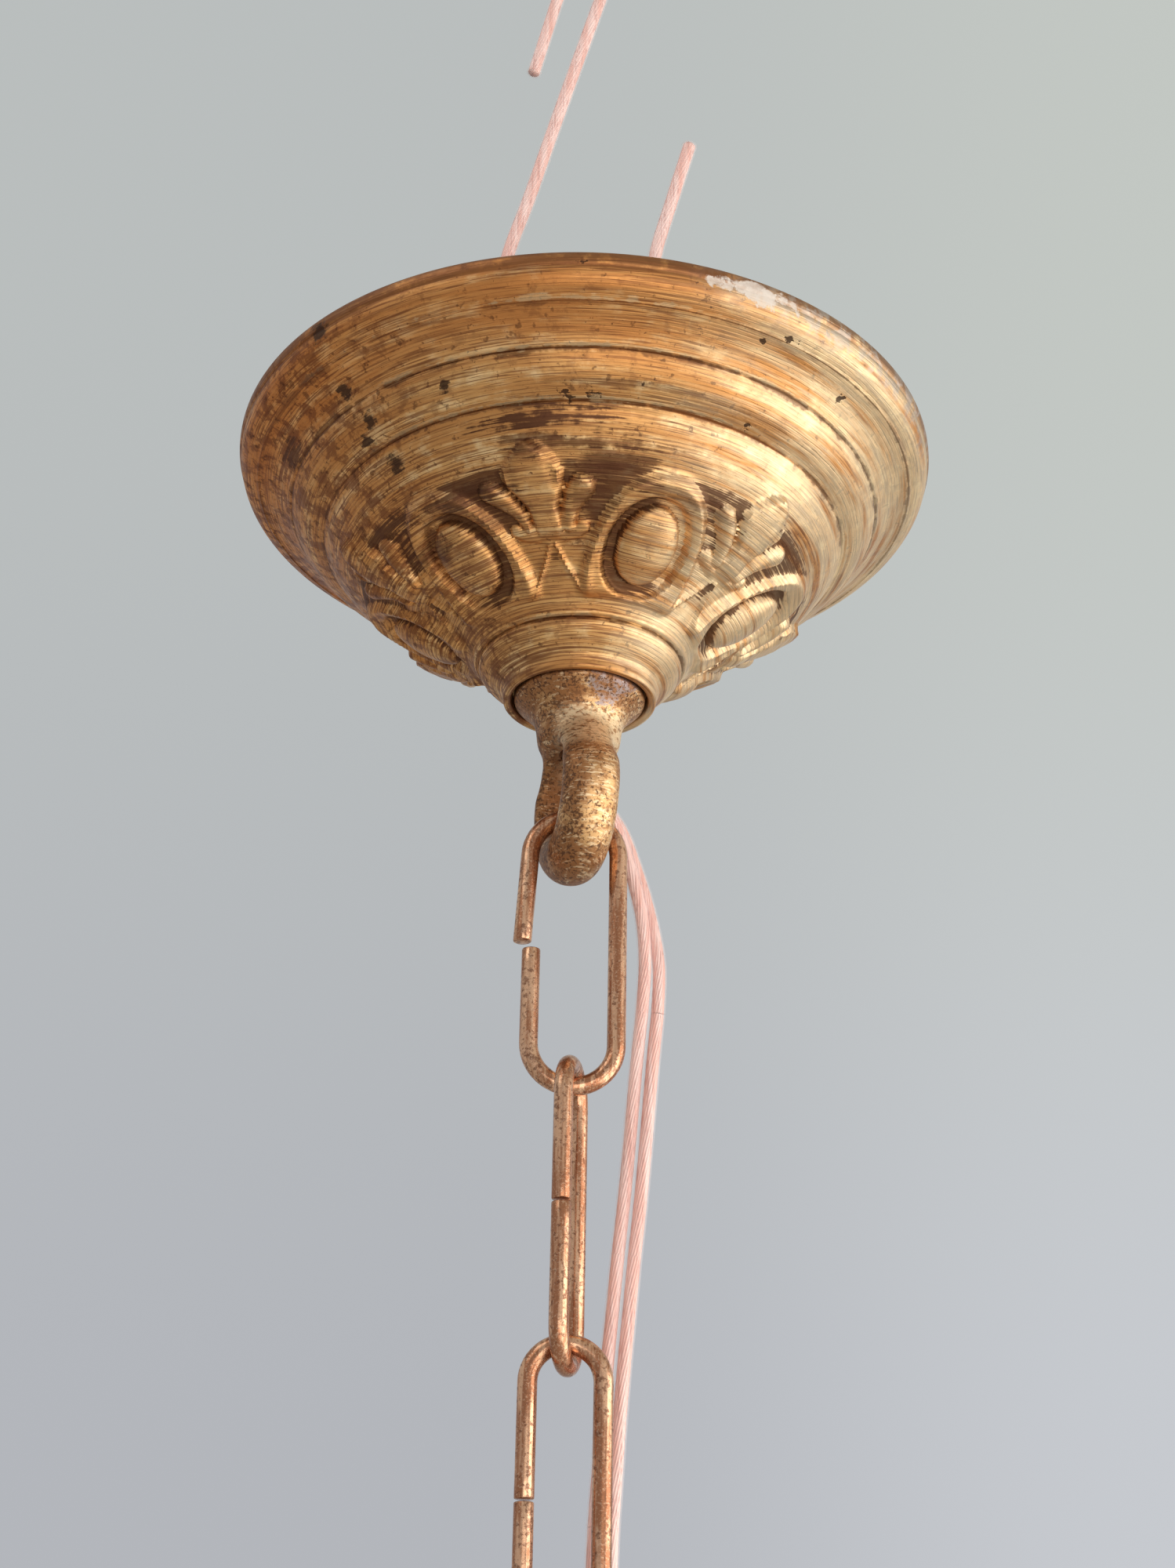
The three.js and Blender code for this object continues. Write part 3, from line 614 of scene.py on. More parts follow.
def castPiece(name, ring, outline, voxel, meltLow, meltHigh):
    # joins ring and neck, then melts the corner between them as in a casting
    neck = turnOutline(name, outline, castingLook["turns"])
    joinInto(neck, ring, "UNION")
    applyModifier(neck, "REMESH", {"mode": "VOXEL", "voxel_size": voxel * mm, "use_smooth_shade": True})
    smoothing = {"factor": 0.5, "iterations": castingLook["softening"]}
    applyModifier(neck, "SMOOTH", smoothing)
    group = neck.vertex_groups.new(name="melt")
    for vertex in neck.data.vertices:
        z = vertex.co.z / mm
        weight = smooth(z, meltLow, meltLow + 3) * (1 - smooth(z, meltHigh - 2, meltHigh))
        if weight > 0:
            group.add([vertex.index], weight, "REPLACE")
    smoothing.update(iterations=castingLook["melting"], vertex_group="melt")
    applyModifier(neck, "SMOOTH", smoothing)
    neck.vertex_groups.clear()
    return neck


def makeCeilingLoop():
    look = loopLook
    middle = look["barZ"] + look["halfHeight"]
    ring = ovalRing("ceilingRing", look, -1, middle)
    top = look["footTop"]
    eyeTop = middle + look["halfHeight"] - look["eyeWall"]
    outline = [(0.4, eyeTop - 0.8), (5.0, eyeTop - 0.8)]
    outline += smoothLine([
        (7.1, eyeTop + 0.2), (7.2, -54.2), (7.1, -52.0), (7.5, -49.9), (8.7, -48.2), (10.1, -46.9),
        (10.75, -46.2), (10.95, -45.5), (10.95, top - 0.1),
    ], 0.5)
    outline.append((0.4, top - 0.1))
    piece = castPiece("ceilingLoop", ring, outline, look["grain"], *look["melt"])
    drill(piece, castingLook["seatRadius"], top - look["seatDepth"], top + 1)
    drill(piece, castingLook["holeRadius"], eyeTop - 2.5, top)
    shadeRound(piece, castingLook["roundBelow"])
    return piece


def makeLampLoop():
    look = lampLoopLook
    middle = look["pivotZ"] + look["wire"] + look["gap"] + look["limb"] / 2 - look["halfHeight"]
    ring = ovalRing("lampRing", look, 1, middle)
    eyeLow = middle - look["halfHeight"] + look["limb"] / 2
    foot = eyeLow - look["length"]
    outline = [(r, foot + up) for r, up in lampNeck] + [(4.4, eyeLow + 0.6), (0.4, eyeLow + 0.8)]
    piece = castPiece("lampLoop", ring, outline, look["grain"], foot + 5, eyeLow + 4)
    drill(piece, castingLook["seatRadius"], foot - 1, foot + look["seatDepth"])
    drill(piece, castingLook["holeRadius"], foot, eyeLow + 3)
    shadeRound(piece, castingLook["roundBelow"])
    return piece


ceilingLoop = makeCeilingLoop()
lampLoop = makeLampLoop()
print("loops made:", len(ceilingLoop.data.polygons), len(lampLoop.data.polygons), "faces")


# Chain links: a round wire extruded along its legs and spun round its bends, from cut to cut

chainLook = {
    "wire": 1.47, "height": 48.7, "sides": 28, "bendSteps": 26, "legSteps": (6, 10, 6), "top": -65.66,
    "pitch": 42.52, "bendShare": 0.4, "cutEdge": 0.18, "roundBelow": 50,
}
linkLooks = [
    {"width": 16.6, "gapBelowTop": 23.6, "gap": 1.3, "spread": 1.45, "turn": 4},
    {"width": 14, "gapBelowTop": 24, "gap": 0.4, "spread": 0, "turn": 78},
    {"width": 14, "gapBelowTop": 23.4, "gap": 0.4, "spread": 0, "turn": 0},
]


def extrudeUp(distance, steps):
    for _ in range(steps):
        bpy.ops.mesh.extrude_edges_move(TRANSFORM_OT_translate={"value": (0, 0, distance / steps * mm)})


def spinBend(z):
    bpy.ops.mesh.spin(steps=chainLook["bendSteps"], angle=math.pi, center=(0, 0, z * mm), axis=(0, 1, 0))


def bendWire(look, number):
    wire = chainLook["wire"]
    bendTop = -look["width"] / 2
    bendLow = -chainLook["height"] + look["width"] / 2
    cutTop = -look["gapBelowTop"]
    cutLow = cutTop - look["gap"]
    first, long, last = chainLook["legSteps"]
    deselect()
    bpy.ops.mesh.primitive_circle_add(vertices=chainLook["sides"], radius=wire * mm, fill_type="NOTHING")
    link = bpy.context.object
    link.name = link.data.name = f"chainLink{number}"
    bpy.ops.object.mode_set(mode="EDIT")
    bpy.ops.mesh.select_all(action="SELECT")
    bpy.ops.transform.translate(value=(-(look["width"] / 2 - wire) * mm, 0, cutLow * mm))
    extrudeUp(bendLow - cutLow, first)
    spinBend(bendLow)
    extrudeUp(bendTop - bendLow, long)
    spinBend(bendTop)
    extrudeUp(cutTop - bendTop, last)
    mergeDoubles()
    bpy.ops.mesh.fill_holes(sides=0)
    faceOutwards()
    # a link that was prised open to hang it has a cut leg that leans out
    bendShare = chainLook["bendShare"]
    for vertex in link.data.vertices:
        x, y, z = (c / mm for c in vertex.co)
        if z > bendTop:
            share = bendShare * (math.acos(clamp(x / math.hypot(x, z - bendTop), -1, 1)) / math.pi) ** 2
        elif x < 0 and z > cutLow + 0.01:
            share = bendShare + (1 - bendShare) * (bendTop - z) / (bendTop - cutTop)
        else:
            share = 0
        if share and look["spread"]:
            vertex.co.x -= look["spread"] * share * mm
    place = Matrix.Translation((0, 0, (chainLook["top"] - (number - 1) * chainLook["pitch"]) * mm))
    link.data.transform(place @ Matrix.Rotation(rad(look["turn"]), 4, "Z"))
    easeEdges(link, chainLook["cutEdge"], 60)
    shadeRound(link, chainLook["roundBelow"])
    return link


links = [bendWire(look, number) for number, look in enumerate(linkLooks, 1)]
print("chain links bent:", len(links))


# Threaded stems and the hook's bolt

stemLook = {
    "outer": 4.9, "bore": 3.6, "pitch": 1.0, "depth": 0.45, "steps": 48, "chamfer": 0.5, "roundBelow": 50,
}
boltLook = {
    "outer": 2.5, "pitch": 0.8, "depth": 0.34, "steps": 32, "flats": 8, "head": 3.5, "headStart": 13.3,
    "headEdge": 0.35, "z": -8, "roundBelow": 40,
}


def cutThread(piece, look):
    # a fine wave that climbs one pitch for each turn
    for vertex in piece.data.vertices:
        x, y, z = (c / mm for c in vertex.co)
        r = math.hypot(x, y)
        if r > look["outer"] - 0.02:
            wave = 0.5 + 0.5 * math.cos(fullTurn * z / look["pitch"] - math.atan2(y, x))
            share = (look["outer"] - look["depth"] * wave) / r
            vertex.co = Vector((x * share, y * share, z)) * mm


def threadRows(look, low, high):
    # six rows for each turn of the thread
    rows = math.ceil((high - low) / look["pitch"] * 6)
    return [(look["outer"], lerp(low, high, i / rows)) for i in range(rows + 1)]


def threadedStem(name, node):
    look = stemLook
    low, high = (corner.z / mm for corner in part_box(node))
    root = look["outer"] - look["depth"]
    outline = [(look["bore"], low), (root, low)]
    outline += threadRows(look, low + look["chamfer"], high - look["chamfer"])
    piece = turnOutline(name, outline + [(root, high), (look["bore"], high)], look["steps"])
    cutThread(piece, look)
    shadeRound(piece, look["roundBelow"])
    return piece


def threadedBolt():
    look = boltLook
    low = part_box("hanger_bolt")[0].x / mm
    root = look["outer"] - look["depth"]
    start = look["headStart"]
    outline = [(0, low), (root, low)] + threadRows(look, low + 0.4, start - 0.2)
    outline += [(root, start), (root, start + 1), (0, start + 1)]
    piece = turnOutline("hangerBolt", outline, look["steps"])
    cutThread(piece, look)
    head = addPrism(6, look["flats"] / math.sqrt(3), start, start + look["head"])
    easeEdges(head, look["headEdge"], 40)
    joinInto(piece, head, "UNION")
    # it is made upright and laid along X
    piece.data.transform(Matrix.Translation((0, 0, look["z"] * mm)) @ Matrix.Rotation(rad(90), 4, "Y"))
    shadeRound(piece, look["roundBelow"])
    return piece


ceilingStem = threadedStem("ceilingStem", "stem_nipple")
lampStem = threadedStem("lampStem", "lamp_nipple")
hangerBolt = threadedBolt()
print("threads cut")


# Finishes

class Value:
    # wraps a socket, so that sums written in Python add their Math nodes
    def __init__(self, finish, socket):
        self.finish, self.socket = finish, socket

    def __add__(self, other):
        return self.finish.maths("ADD", self, other)

    def __sub__(self, other):
        return self.finish.maths("SUBTRACT", self, other)

    def __rsub__(self, other):
        return self.finish.maths("SUBTRACT", other, self)

    def __mul__(self, other):
        return self.finish.maths("MULTIPLY", self, other)

    def __truediv__(self, other):
        return self.finish.maths("DIVIDE", self, other)

    def __neg__(self):
        return self * -1.0

    __radd__ = __add__
    __rmul__ = __mul__


class Finish:
    # the nodes of one material, or of the tree that is given
    shaderInputs = {
        "colour": "Base Color", "roughness": "Roughness", "metallic": "Metallic", "normal": "Normal",
        "coat": "Coat Weight", "coatRoughness": "Coat Roughness", "alpha": "Alpha",
    }

    def __init__(self, name, tree=None):
        if tree is None:
            self.material = bpy.data.materials.new(name)
            self.material.use_nodes = True
            tree = self.material.node_tree
            self.shader = tree.nodes["Principled BSDF"]
        self.tree = tree

    def put(self, value, socket):
        if isinstance(value, Value):
            self.tree.links.new(value.socket, socket)
        else:
            socket.default_value = value

    def add(self, kind, settings, sockets, output=0):
        node = self.tree.nodes.new(kind)
        for key, value in settings.items():
            setattr(node, key, value)
        for key, value in (sockets.items() if isinstance(sockets, dict) else enumerate(sockets)):
            self.put(value, node.inputs[key])
        return Value(self, node.outputs[output])

    def feed(self, **sockets):
        for name, value in sockets.items():
            self.put(value, self.shader.inputs[self.shaderInputs[name]])

    def maths(self, operation, *values):
        return self.add("ShaderNodeMath", {"operation": operation}, values)

    def length(self, a, b):
        return self.maths("SQRT", a * a + b * b)

    def distance(self, place, point):
        return self.add("ShaderNodeVectorMath", {"operation": "DISTANCE"}, [place, point], "Value")

    def place(self):
        return self.add("ShaderNodeTexCoord", {}, {}, "Object")

    def split(self, vector):
        node = self.add("ShaderNodeSeparateXYZ", {}, [vector]).socket.node
        return [Value(self, output) for output in node.outputs]

    def noise(self, vector, scale, detail, roughness, distortion=0.0):
        # a scale of three numbers stretches the pattern
        if isinstance(scale, tuple):
            vector = self.add("ShaderNodeMapping", {}, {"Vector": vector, "Scale": scale})
            scale = 1.0
        return self.add("ShaderNodeTexNoise", {}, {
            "Vector": vector, "Scale": scale, "Detail": detail, "Roughness": roughness,
            "Distortion": distortion,
        }, "Fac")

    def noises(self, vector, look, names):
        return [self.noise(vector, *look[name]) for name in names.split()]

    def ramp(self, value, low, high, least=0.0, most=1.0):
        return self.add("ShaderNodeMapRange", {"interpolation_type": "SMOOTHSTEP"}, {
            "Value": value, "From Min": low, "From Max": high, "To Min": least, "To Max": most,
        })

    def mix(self, share, a, b, blend="MIX"):
        settings = {"data_type": "RGBA", "blend_type": blend}
        return self.add("ShaderNodeMix", settings, {0: share, 6: a, 7: b}, 2)

    def layers(self, colour, look, rows):
        # lays colours over each other, each with how much of it shows
        for share, name in rows:
            colour = self.mix(share, colour, look[name])
        return colour

    def bump(self, height, strength, distance, normal=None):
        sockets = {"Height": height, "Strength": strength, "Distance": distance}
        if normal is not None:
            sockets["Normal"] = normal
        return self.add("ShaderNodeBump", {}, sockets, "Normal")


def sway(noiseValue, amount):
    # makes a noise swing to both sides of nothing
    return (noiseValue - 0.5) * amount


giltLook = {
    "pale": (0.95, 0.74, 0.42, 1), "gold": (0.74, 0.415, 0.152, 1), "amber": (0.55, 0.25, 0.075, 1),
    "paintedHighlight": (0.96, 0.80, 0.52, 1), "brown": (0.21, 0.075, 0.026, 1), "umber": (0.095, 0.032, 0.013, 1),
    "wearAndPaintedLight": (0.50, 0.43, 0.36, 1), "bare": (0.70, 0.61, 0.52, 1), "pit": (0.045, 0.02, 0.012, 1),
    "wearAndShadeTint": (1.0, 0.80, 0.63, 1), "redTint": (0.97, 0.80, 0.66, 1),
    # noises: scale, detail, roughness, distortion
    "cloud": (38.0, 4.0, 0.6), "mottle": (260.0, 4.0, 0.62), "specks": (1500.0, 2.0, 0.6),
    "blots": (620.0, 3.0, 0.6), "flakes": (330.0, 4.0, 0.68, 0.3),
    # turning marks: scale round the canopy, scale down its face, detail, roughness
    "streaks": (75.0, 2100.0, 2.0, 0.6), "hairs": (130.0, 4410.0, 1.0, 0.5), "wide": (40.0, 520.0, 3.0, 0.6),
    # where the chip on the rim is, in degrees and mm, each with its half-width
    "chipAzimuth": (26.0, 8.0), "chipHeight": (-2.6, 1.6),
    "toolPitch": 0.66, "lineDepth": 0.055, "grainDepth": 0.06, "roughness": (0.38, 0.60), "coat": 0.12,
    "coatRoughness": 0.38, "metallic": (0.88, 0.2), "grooveDarkening": 0.85, "grooveHighlight": 0.28,
}

# Marks on the gilding: azimuth in degrees, radius, height and size in mm
pits = [
    (-45.2, 60, -2.8, 2.2), (-26.8, 48.6, -13.8, 1.2), (-47.2, 52.1, -9.4, 1.5), (-48.5, 46.3, -15.5, 1.4),
    (-45.1, 48.4, -14.0, 1.6), (-3.2, 45.6, -15.9, 0.6), (1.5, 45.5, -15.9, 0.8), (11.0, 47.2, -15.0, 0.6),
    (30.2, 55.1, -7.2, 0.6), (-44.8, 42.5, -19.5, 1.9), (34.0, 56.8, -6.4, 0.6), (36.0, 56.9, -6.4, 0.6),
    (50.3, 53.9, -7.9, 0.6), (34.5, 45.7, -15.8, 0.5), (-0.8, 59.9, -2.3, 0.7),
]
# Places where dirt or bare brown shows in ragged streaks: azimuth, its half-width, radius, its half-width
# and how strongly
scrapes = [
    (-9, 12, 43.0, 1.0, 0.95), (-12, 9, 41.4, 0.7, 0.7), (7, 9, 38.6, 1.8, 0.8), (0, 15, 40.6, 0.7, 0.75),
    (-33, 13, 36.4, 1.4, 0.85), (3, 6, 34.5, 2.6, 0.6), (-24, 7, 33, 2.6, 0.6), (33, 12, 35.6, 1.0, 0.5),
    (-50, 8, 31, 1.6, 0.7), (-70, 5, 52, 1.5, 0.8), (20, 30, 47.2, 0.5, 0.35),
]
# Grooves between the mouldings: radius, height, width and how dark
grooves = [
    (50.4, -11.0, 0.55, 0.75), (44.3, -16.6, 0.55, 0.7), (16.9, -39.1, 0.5, 0.7), (56.35, -6.7, 0.35, 0.45),
]


def markPoint(azimuth, r, z):
    return (r * math.sin(rad(azimuth)) * mm, -r * math.cos(rad(azimuth)) * mm, z * mm)


def turningMarks(f, x, y, down, row):
    # long fine streaks round the canopy
    around, downwards, detail, roughness = row
    spot = f.add("ShaderNodeCombineXYZ", {}, [x * around, y * around, down * downwards])
    return f.noise(spot, 1.0, detail, roughness)


def giltFinish():
    f = Finish("agedGilt")
    look = giltLook
    place = f.place()
    x, y, z = f.split(place)
    r = f.length(x, y)
    azimuth = f.maths("ARCTAN2", x, -y) * (180 / math.pi)
    down = r * bowlSlope[1] + z * bowlSlope[0]
    hollow = f.add("ShaderNodeAttribute", {"attribute_name": "hollow"}, {}, "Fac")
    cloud, mottle, specks, blots, flakes = f.noises(place, look, "cloud mottle specks blots flakes")
    streaks, hairs, wide = (turningMarks(f, x, y, down, look[name]) for name in ("streaks", "hairs", "wide"))
    bowl = f.ramp(z, -0.0175, -0.0215)
    # painted highlight: the right side, towards the light, is made paler and creamier
    paintedLightRight = f.ramp(azimuth, 8.0, 50.0) * f.ramp(azimuth, 170.0, 120.0)
    # painted shade: the left flank, away from the light, is darker and browner, and it has lost more of its
    # gilding
    wearAndPaintedLight = f.ramp(azimuth, -22.0, -62.0) * f.ramp(azimuth, -175.0, -120.0)
    # evenly spaced lines that the turning tool left, broken where the gilding filled them
    toolLines = f.maths("SINE", down * (fullTurn / (look["toolPitch"] * mm)) + wide * 9.0 + cloud * 6.0)
    toolLines = f.ramp(toolLines, 0.35, 0.95) * f.ramp(streaks * 0.4 + mottle * 0.6, 0.6, 0.42)
    # gold, browner in lines, streaks and flakes, and paler on the right with a painted highlight
    colour = f.mix(f.ramp(cloud * 0.45 + wide * 0.55, 0.38, 0.62), look["amber"], look["gold"])
    colour = f.layers(colour, look, [
        (f.ramp(wide * 0.5 + mottle * 0.5, 0.5, 0.66) * 0.5, "pale"),
        (toolLines * (bowl * 0.45 + 0.22), "brown"),
        (f.ramp(streaks + sway(cloud, 0.5), 0.5, 0.66) * (bowl * 0.2 + 0.6), "brown"),
        (f.ramp(hairs + sway(wide, 0.5), 0.56, 0.66) * 0.7, "brown"),
        # flakes and blots gather more on the left flank, which also carries painted shade
        (f.ramp(flakes + wearAndPaintedLight * 0.08, 0.56, 0.66) * (wearAndPaintedLight * 0.4 + 0.35), "brown"),
        (f.ramp(flakes, 0.44, 0.38) * wearAndPaintedLight * 0.25, "gold"),
        (f.ramp(blots + wearAndPaintedLight * 0.05, 0.62, 0.7) * 0.6, "umber"),
        (f.ramp(specks + blots * 0.25, 0.8, 0.88) * 0.8, "umber"),
        (paintedLightRight * f.ramp(wide, 0.32, 0.52) * 0.45, "paintedHighlight"),
    ])
    # the left flank is redder as painted shade, and so are the upper mouldings, except on the right
    colour = f.mix(wearAndPaintedLight * f.ramp(z, -0.036, -0.022, 0.2, 0.65), colour, look["wearAndShadeTint"], "MULTIPLY")
    # painted shade: brown streaks laid thicker on the left flank
    colour = f.mix(f.ramp(hairs * 0.5 + specks * 0.5, 0.5, 0.6) * wearAndPaintedLight * 0.3, colour, look["brown"])
    upper = f.ramp(z, -0.0145, -0.0065) * f.ramp(azimuth, 40.0, 5.0)
    colour = f.mix(upper * 0.75, colour, look["redTint"], "MULTIPLY")
    # lacquer and dirt that stayed in the hollows, with the painted shade beside the eggs, rubbed off the
    # crests in ragged streaks
    ragged = hollow + sway(streaks, 1.5) + sway(hairs, 0.9) + sway(mottle, 1.3)
    dark = f.ramp(ragged, 0.5, 0.78)
    colour = f.mix(dark * 0.85, colour, look["umber"])
    for middle, halfAzimuth, radius, halfRadius, strength in scrapes:
        reach = f.length((azimuth - middle) / halfAzimuth, (r - radius * mm) / (halfRadius * mm))
        scrape = f.ramp(reach + sway(streaks, 4.0) + sway(mottle, 2.6), 1.1, 0.6)
        colour = f.mix(scrape * strength, colour, look["umber"])
    # darker broken lines where mouldings meet, and beside each a pale rubbed edge that is also a painted
    # highlight
    for radius, height, width, strength in grooves:
        offR, offZ = r - radius * mm, z - height * mm
        near = f.length(offR, offZ) + sway(mottle, 0.003) + sway(cloud, 0.0016)
        shade = f.ramp(near, width * mm, 0.0001)
        colour = f.mix(shade * (strength * look["grooveDarkening"]), colour, look["umber"])
        near = f.length(offR - 0.35 * mm, offZ - 0.45 * mm) + sway(mottle, 0.0028) + sway(streaks, 0.0016)
        edgeHighlight = f.ramp(near, 0.00034, 0.0)
        colour = f.mix(edgeHighlight * (1 - wearAndPaintedLight) * look["grooveHighlight"], colour, look["pale"])
    # reddish rolled rim, and its pale rubbed edge on the right, which is also a painted reflection of the
    # light there
    rim = f.ramp(z, -0.0036, -0.0020) * f.ramp(r, 0.0575, 0.0585)
    rubbed = f.ramp(azimuth, 12.0, 40.0) * f.ramp(azimuth, 100.0, 70.0) * f.ramp(z, -0.0065, -0.0035)
    # pits, and the chipped, pale place on the rim
    pitMask = 0.0
    for middle, radius, height, width in pits:
        away = f.distance(place, markPoint(middle, radius, height))
        away = away + sway(blots, 0.0032) + sway(flakes, 0.004) + sway(streaks, 0.0022)
        pitMask = f.maths("MAXIMUM", pitMask, f.ramp(away, width * mm, width * 0.5 * mm))
    chipMiddle, chipHalf = look["chipAzimuth"]
    chipZ, chipHalfZ = look["chipHeight"]
    chipReach = f.length((azimuth - chipMiddle) / chipHalf, (z - chipZ * mm) / (chipHalfZ * mm))
    chip = f.ramp(chipReach + sway(flakes, 3.4) + sway(blots, 1.2), 1.0, 0.55)
    colour = f.layers(colour, look, [
        (rim * f.ramp(mottle, 0.25, 0.5) * 0.8, "brown"),
        (rubbed * f.ramp(flakes, 0.46, 0.6) * 0.6, "wearAndPaintedLight"),
        (pitMask * 0.9, "pit"),
        (chip * f.ramp(blots, 0.3, 0.6, 0.6, 0.95), "bare"),
    ])
    rough = f.ramp(cloud * 0.4 + blots * 0.6, 0.35, 0.7, *look["roughness"])
    dull = f.ramp(dark + pitMask + wearAndPaintedLight * 0.8, 0.0, 1.0)
    lines = streaks * 0.5 + hairs * 0.25 + wide * 0.15 - toolLines * 0.5
    grain = specks * 0.3 + blots * 0.5 + flakes * 0.5 - pitMask * 1.5 - chip * 0.6
    f.feed(
        colour=colour, roughness=rough + dark * 0.1 + chip * 0.2,
        metallic=f.ramp(dark * 0.2 + chip * 0.9, 0.0, 1.0, *look["metallic"]),
        coat=(1.0 - dull) * look["coat"], coatRoughness=look["coatRoughness"],
        normal=f.bump(grain, 0.8, look["grainDepth"] * mm, f.bump(lines, 1.0, look["lineDepth"] * mm)),
    )
    return f.material


castLook = {
    "pale": (0.95, 0.72, 0.44, 1), "gold": (0.72, 0.42, 0.18, 1), "brown": (0.34, 0.145, 0.05, 1),
    "umber": (0.11, 0.045, 0.02, 1), "violet": (0.30, 0.24, 0.24, 1), "patch": (0.0058, -0.0085, -0.0458),
    "brushed": ((520.0, 520.0, 3400.0), 2.0, 0.6, 0.4), "grains": ((900.0, 900.0, 1700.0), 3.0, 0.65),
    "mottle": (420.0, 4.0, 0.65), "specks": (2100.0, 2.0, 0.6), "cloud": (120.0, 3.0, 0.55),
    "brushDepth": 0.045, "speckDepth": 0.03, "roughness": (0.44, 0.62), "metallic": 0.85, "coat": 0.15,
    "coatRoughness": 0.4,
}


def castFinish(name, patched):
    f = Finish(name)
    look = castLook
    place = f.place()
    x, y, z = f.split(place)
    # short file marks lie across the limbs
    brushed, grains, mottle, specks, cloud = f.noises(place, look, "brushed grains mottle specks cloud")
    # painted shade: its left side, away from the light, is browner
    side = f.ramp(x, 0.0026, -0.0010)
    colour = f.mix(f.ramp(cloud - side * 0.16, 0.34, 0.58), look["brown"], look["gold"])
    colour = f.mix(f.ramp(brushed - side * 0.07, 0.46, 0.62) * 0.65, colour, look["pale"])
    if patched:
        # grey-violet bare place on the right of the foot
        away = f.distance(place, look["patch"]) + sway(mottle, 0.010) + sway(grains, 0.005)
        colour = f.mix(f.ramp(away, 0.0046, 0.0036) * 0.85, colour, look["violet"])
    colour = f.layers(colour, look, [
        (f.ramp(grains + side * 0.05, 0.5, 0.62) * 0.7, "brown"),
        (f.ramp(mottle + side * 0.04, 0.56, 0.66) * 0.6, "brown"),
        (f.ramp(specks + mottle * 0.35 + side * 0.05, 0.72, 0.82) * 0.85, "umber"),
    ])
    if patched:
        # speckled foot, a painted highlight on the neck, and a painted shadow with some dirt under the
        # canopy's lip
        neck = f.ramp(z, -0.0600, -0.0565) * f.ramp(z, -0.0495, -0.0512) * f.ramp(x, -0.005, -0.001)
        colour = f.layers(colour, look, [
            (f.ramp(z, -0.0500, -0.0480) * f.ramp(mottle * 0.5 + grains * 0.5, 0.42, 0.56) * 0.8, "brown"),
            (f.ramp(z, -0.0490, -0.0475) * f.ramp(specks + mottle * 0.3, 0.66, 0.76) * 0.8, "umber"),
            (neck * f.ramp(grains, 0.66, 0.46) * 0.7, "pale"),
            (f.ramp(z, -0.0461, -0.0454) * 0.7, "umber"),
        ])
    brushMarks = f.bump(brushed * 0.6 + grains * 0.5 + mottle * 0.4, 0.9, look["brushDepth"] * mm)
    f.feed(
        colour=colour, roughness=f.ramp(mottle * 0.5 + grains * 0.5, 0.35, 0.65, *look["roughness"]),
        metallic=look["metallic"], coat=look["coat"], coatRoughness=look["coatRoughness"],
        normal=f.bump(specks, 0.5, look["speckDepth"] * mm, brushMarks),
    )
    return f.material


wireLook = {
    "bronze": (0.40, 0.165, 0.08, 1), "gold": (0.78, 0.45, 0.265, 1), "rust": (0.15, 0.05, 0.025, 1),
    "bare": (0.84, 0.55, 0.36, 1),
    "drawn": ((900.0, 900.0, 60.0), 2.0, 0.6), "mottle": (1300.0, 3.0, 0.6), "specks": (2900.0, 3.0, 0.65),
    "cloud": (170.0, 3.0, 0.55), "depth": 0.03, "roughness": (0.17, 0.31), "metallic": 0.85,
}


def wireFinish():
    f = Finish("bronzedWire")
    look = wireLook
    drawn, mottle, specks, cloud = f.noises(f.place(), look, "drawn mottle specks cloud")
    colour = f.mix(f.ramp(cloud * 0.3 + drawn * 0.7, 0.44, 0.6), look["bronze"], look["gold"])
    colour = f.layers(colour, look, [
        (f.ramp(mottle + cloud * 0.3 + drawn * 0.3, 0.83, 0.96) * 0.75, "rust"),
        (f.ramp(specks + mottle * 0.2, 0.64, 0.72) * 0.4, "bare"),
    ])
    f.feed(
        colour=colour, roughness=f.ramp(mottle, 0.35, 0.65, *look["roughness"]), metallic=look["metallic"],
        normal=f.bump(mottle * 0.6 + specks * 0.4, 0.4, look["depth"] * mm),
    )
    return f.material


steelLook = {
    "grey": (0.42, 0.41, 0.38, 1), "pale": (0.62, 0.61, 0.57, 1), "dirt": (0.22, 0.17, 0.12, 1),
    "mottle": (300.0, 4.0, 0.6), "brushed": ((200.0, 200.0, 1800.0), 3.0, 0.6), "specks": (1400.0, 2.0, 0.6),
    "depth": 0.02, "roughness": (0.3, 0.5), "metallic": 0.92,
}


def steelFinish():
    f = Finish("zincedSteel")
    look = steelLook
    mottle, brushed, specks = f.noises(f.place(), look, "mottle brushed specks")
    colour = f.mix(f.ramp(mottle, 0.35, 0.65), look["grey"], look["pale"])
    f.feed(
        colour=f.mix(f.ramp(specks, 0.66, 0.76) * 0.6, colour, look["dirt"]),
        roughness=f.ramp(mottle, 0.35, 0.65, *look["roughness"]), metallic=look["metallic"],
        normal=f.bump(brushed * 0.6 + mottle * 0.4, 0.5, look["depth"] * mm),
    )
    return f.material


bushLook = {
    "shade": (0.72, 0.68, 0.58, 1), "pale": (0.80, 0.77, 0.68, 1), "mottle": (500.0, 3.0, 0.6), "depth": 0.02,
    "roughness": (0.4, 0.55),
}


def bushFinish():
    f = Finish("bushPlastic")
    look = bushLook
    mottle = f.noise(f.place(), *look["mottle"])
    f.feed(
        colour=f.mix(f.ramp(mottle, 0.3, 0.7), look["shade"], look["pale"]),
        roughness=f.ramp(mottle, 0.3, 0.7, *look["roughness"]),
        normal=f.bump(mottle, 0.4, look["depth"] * mm),
    )
    return f.material


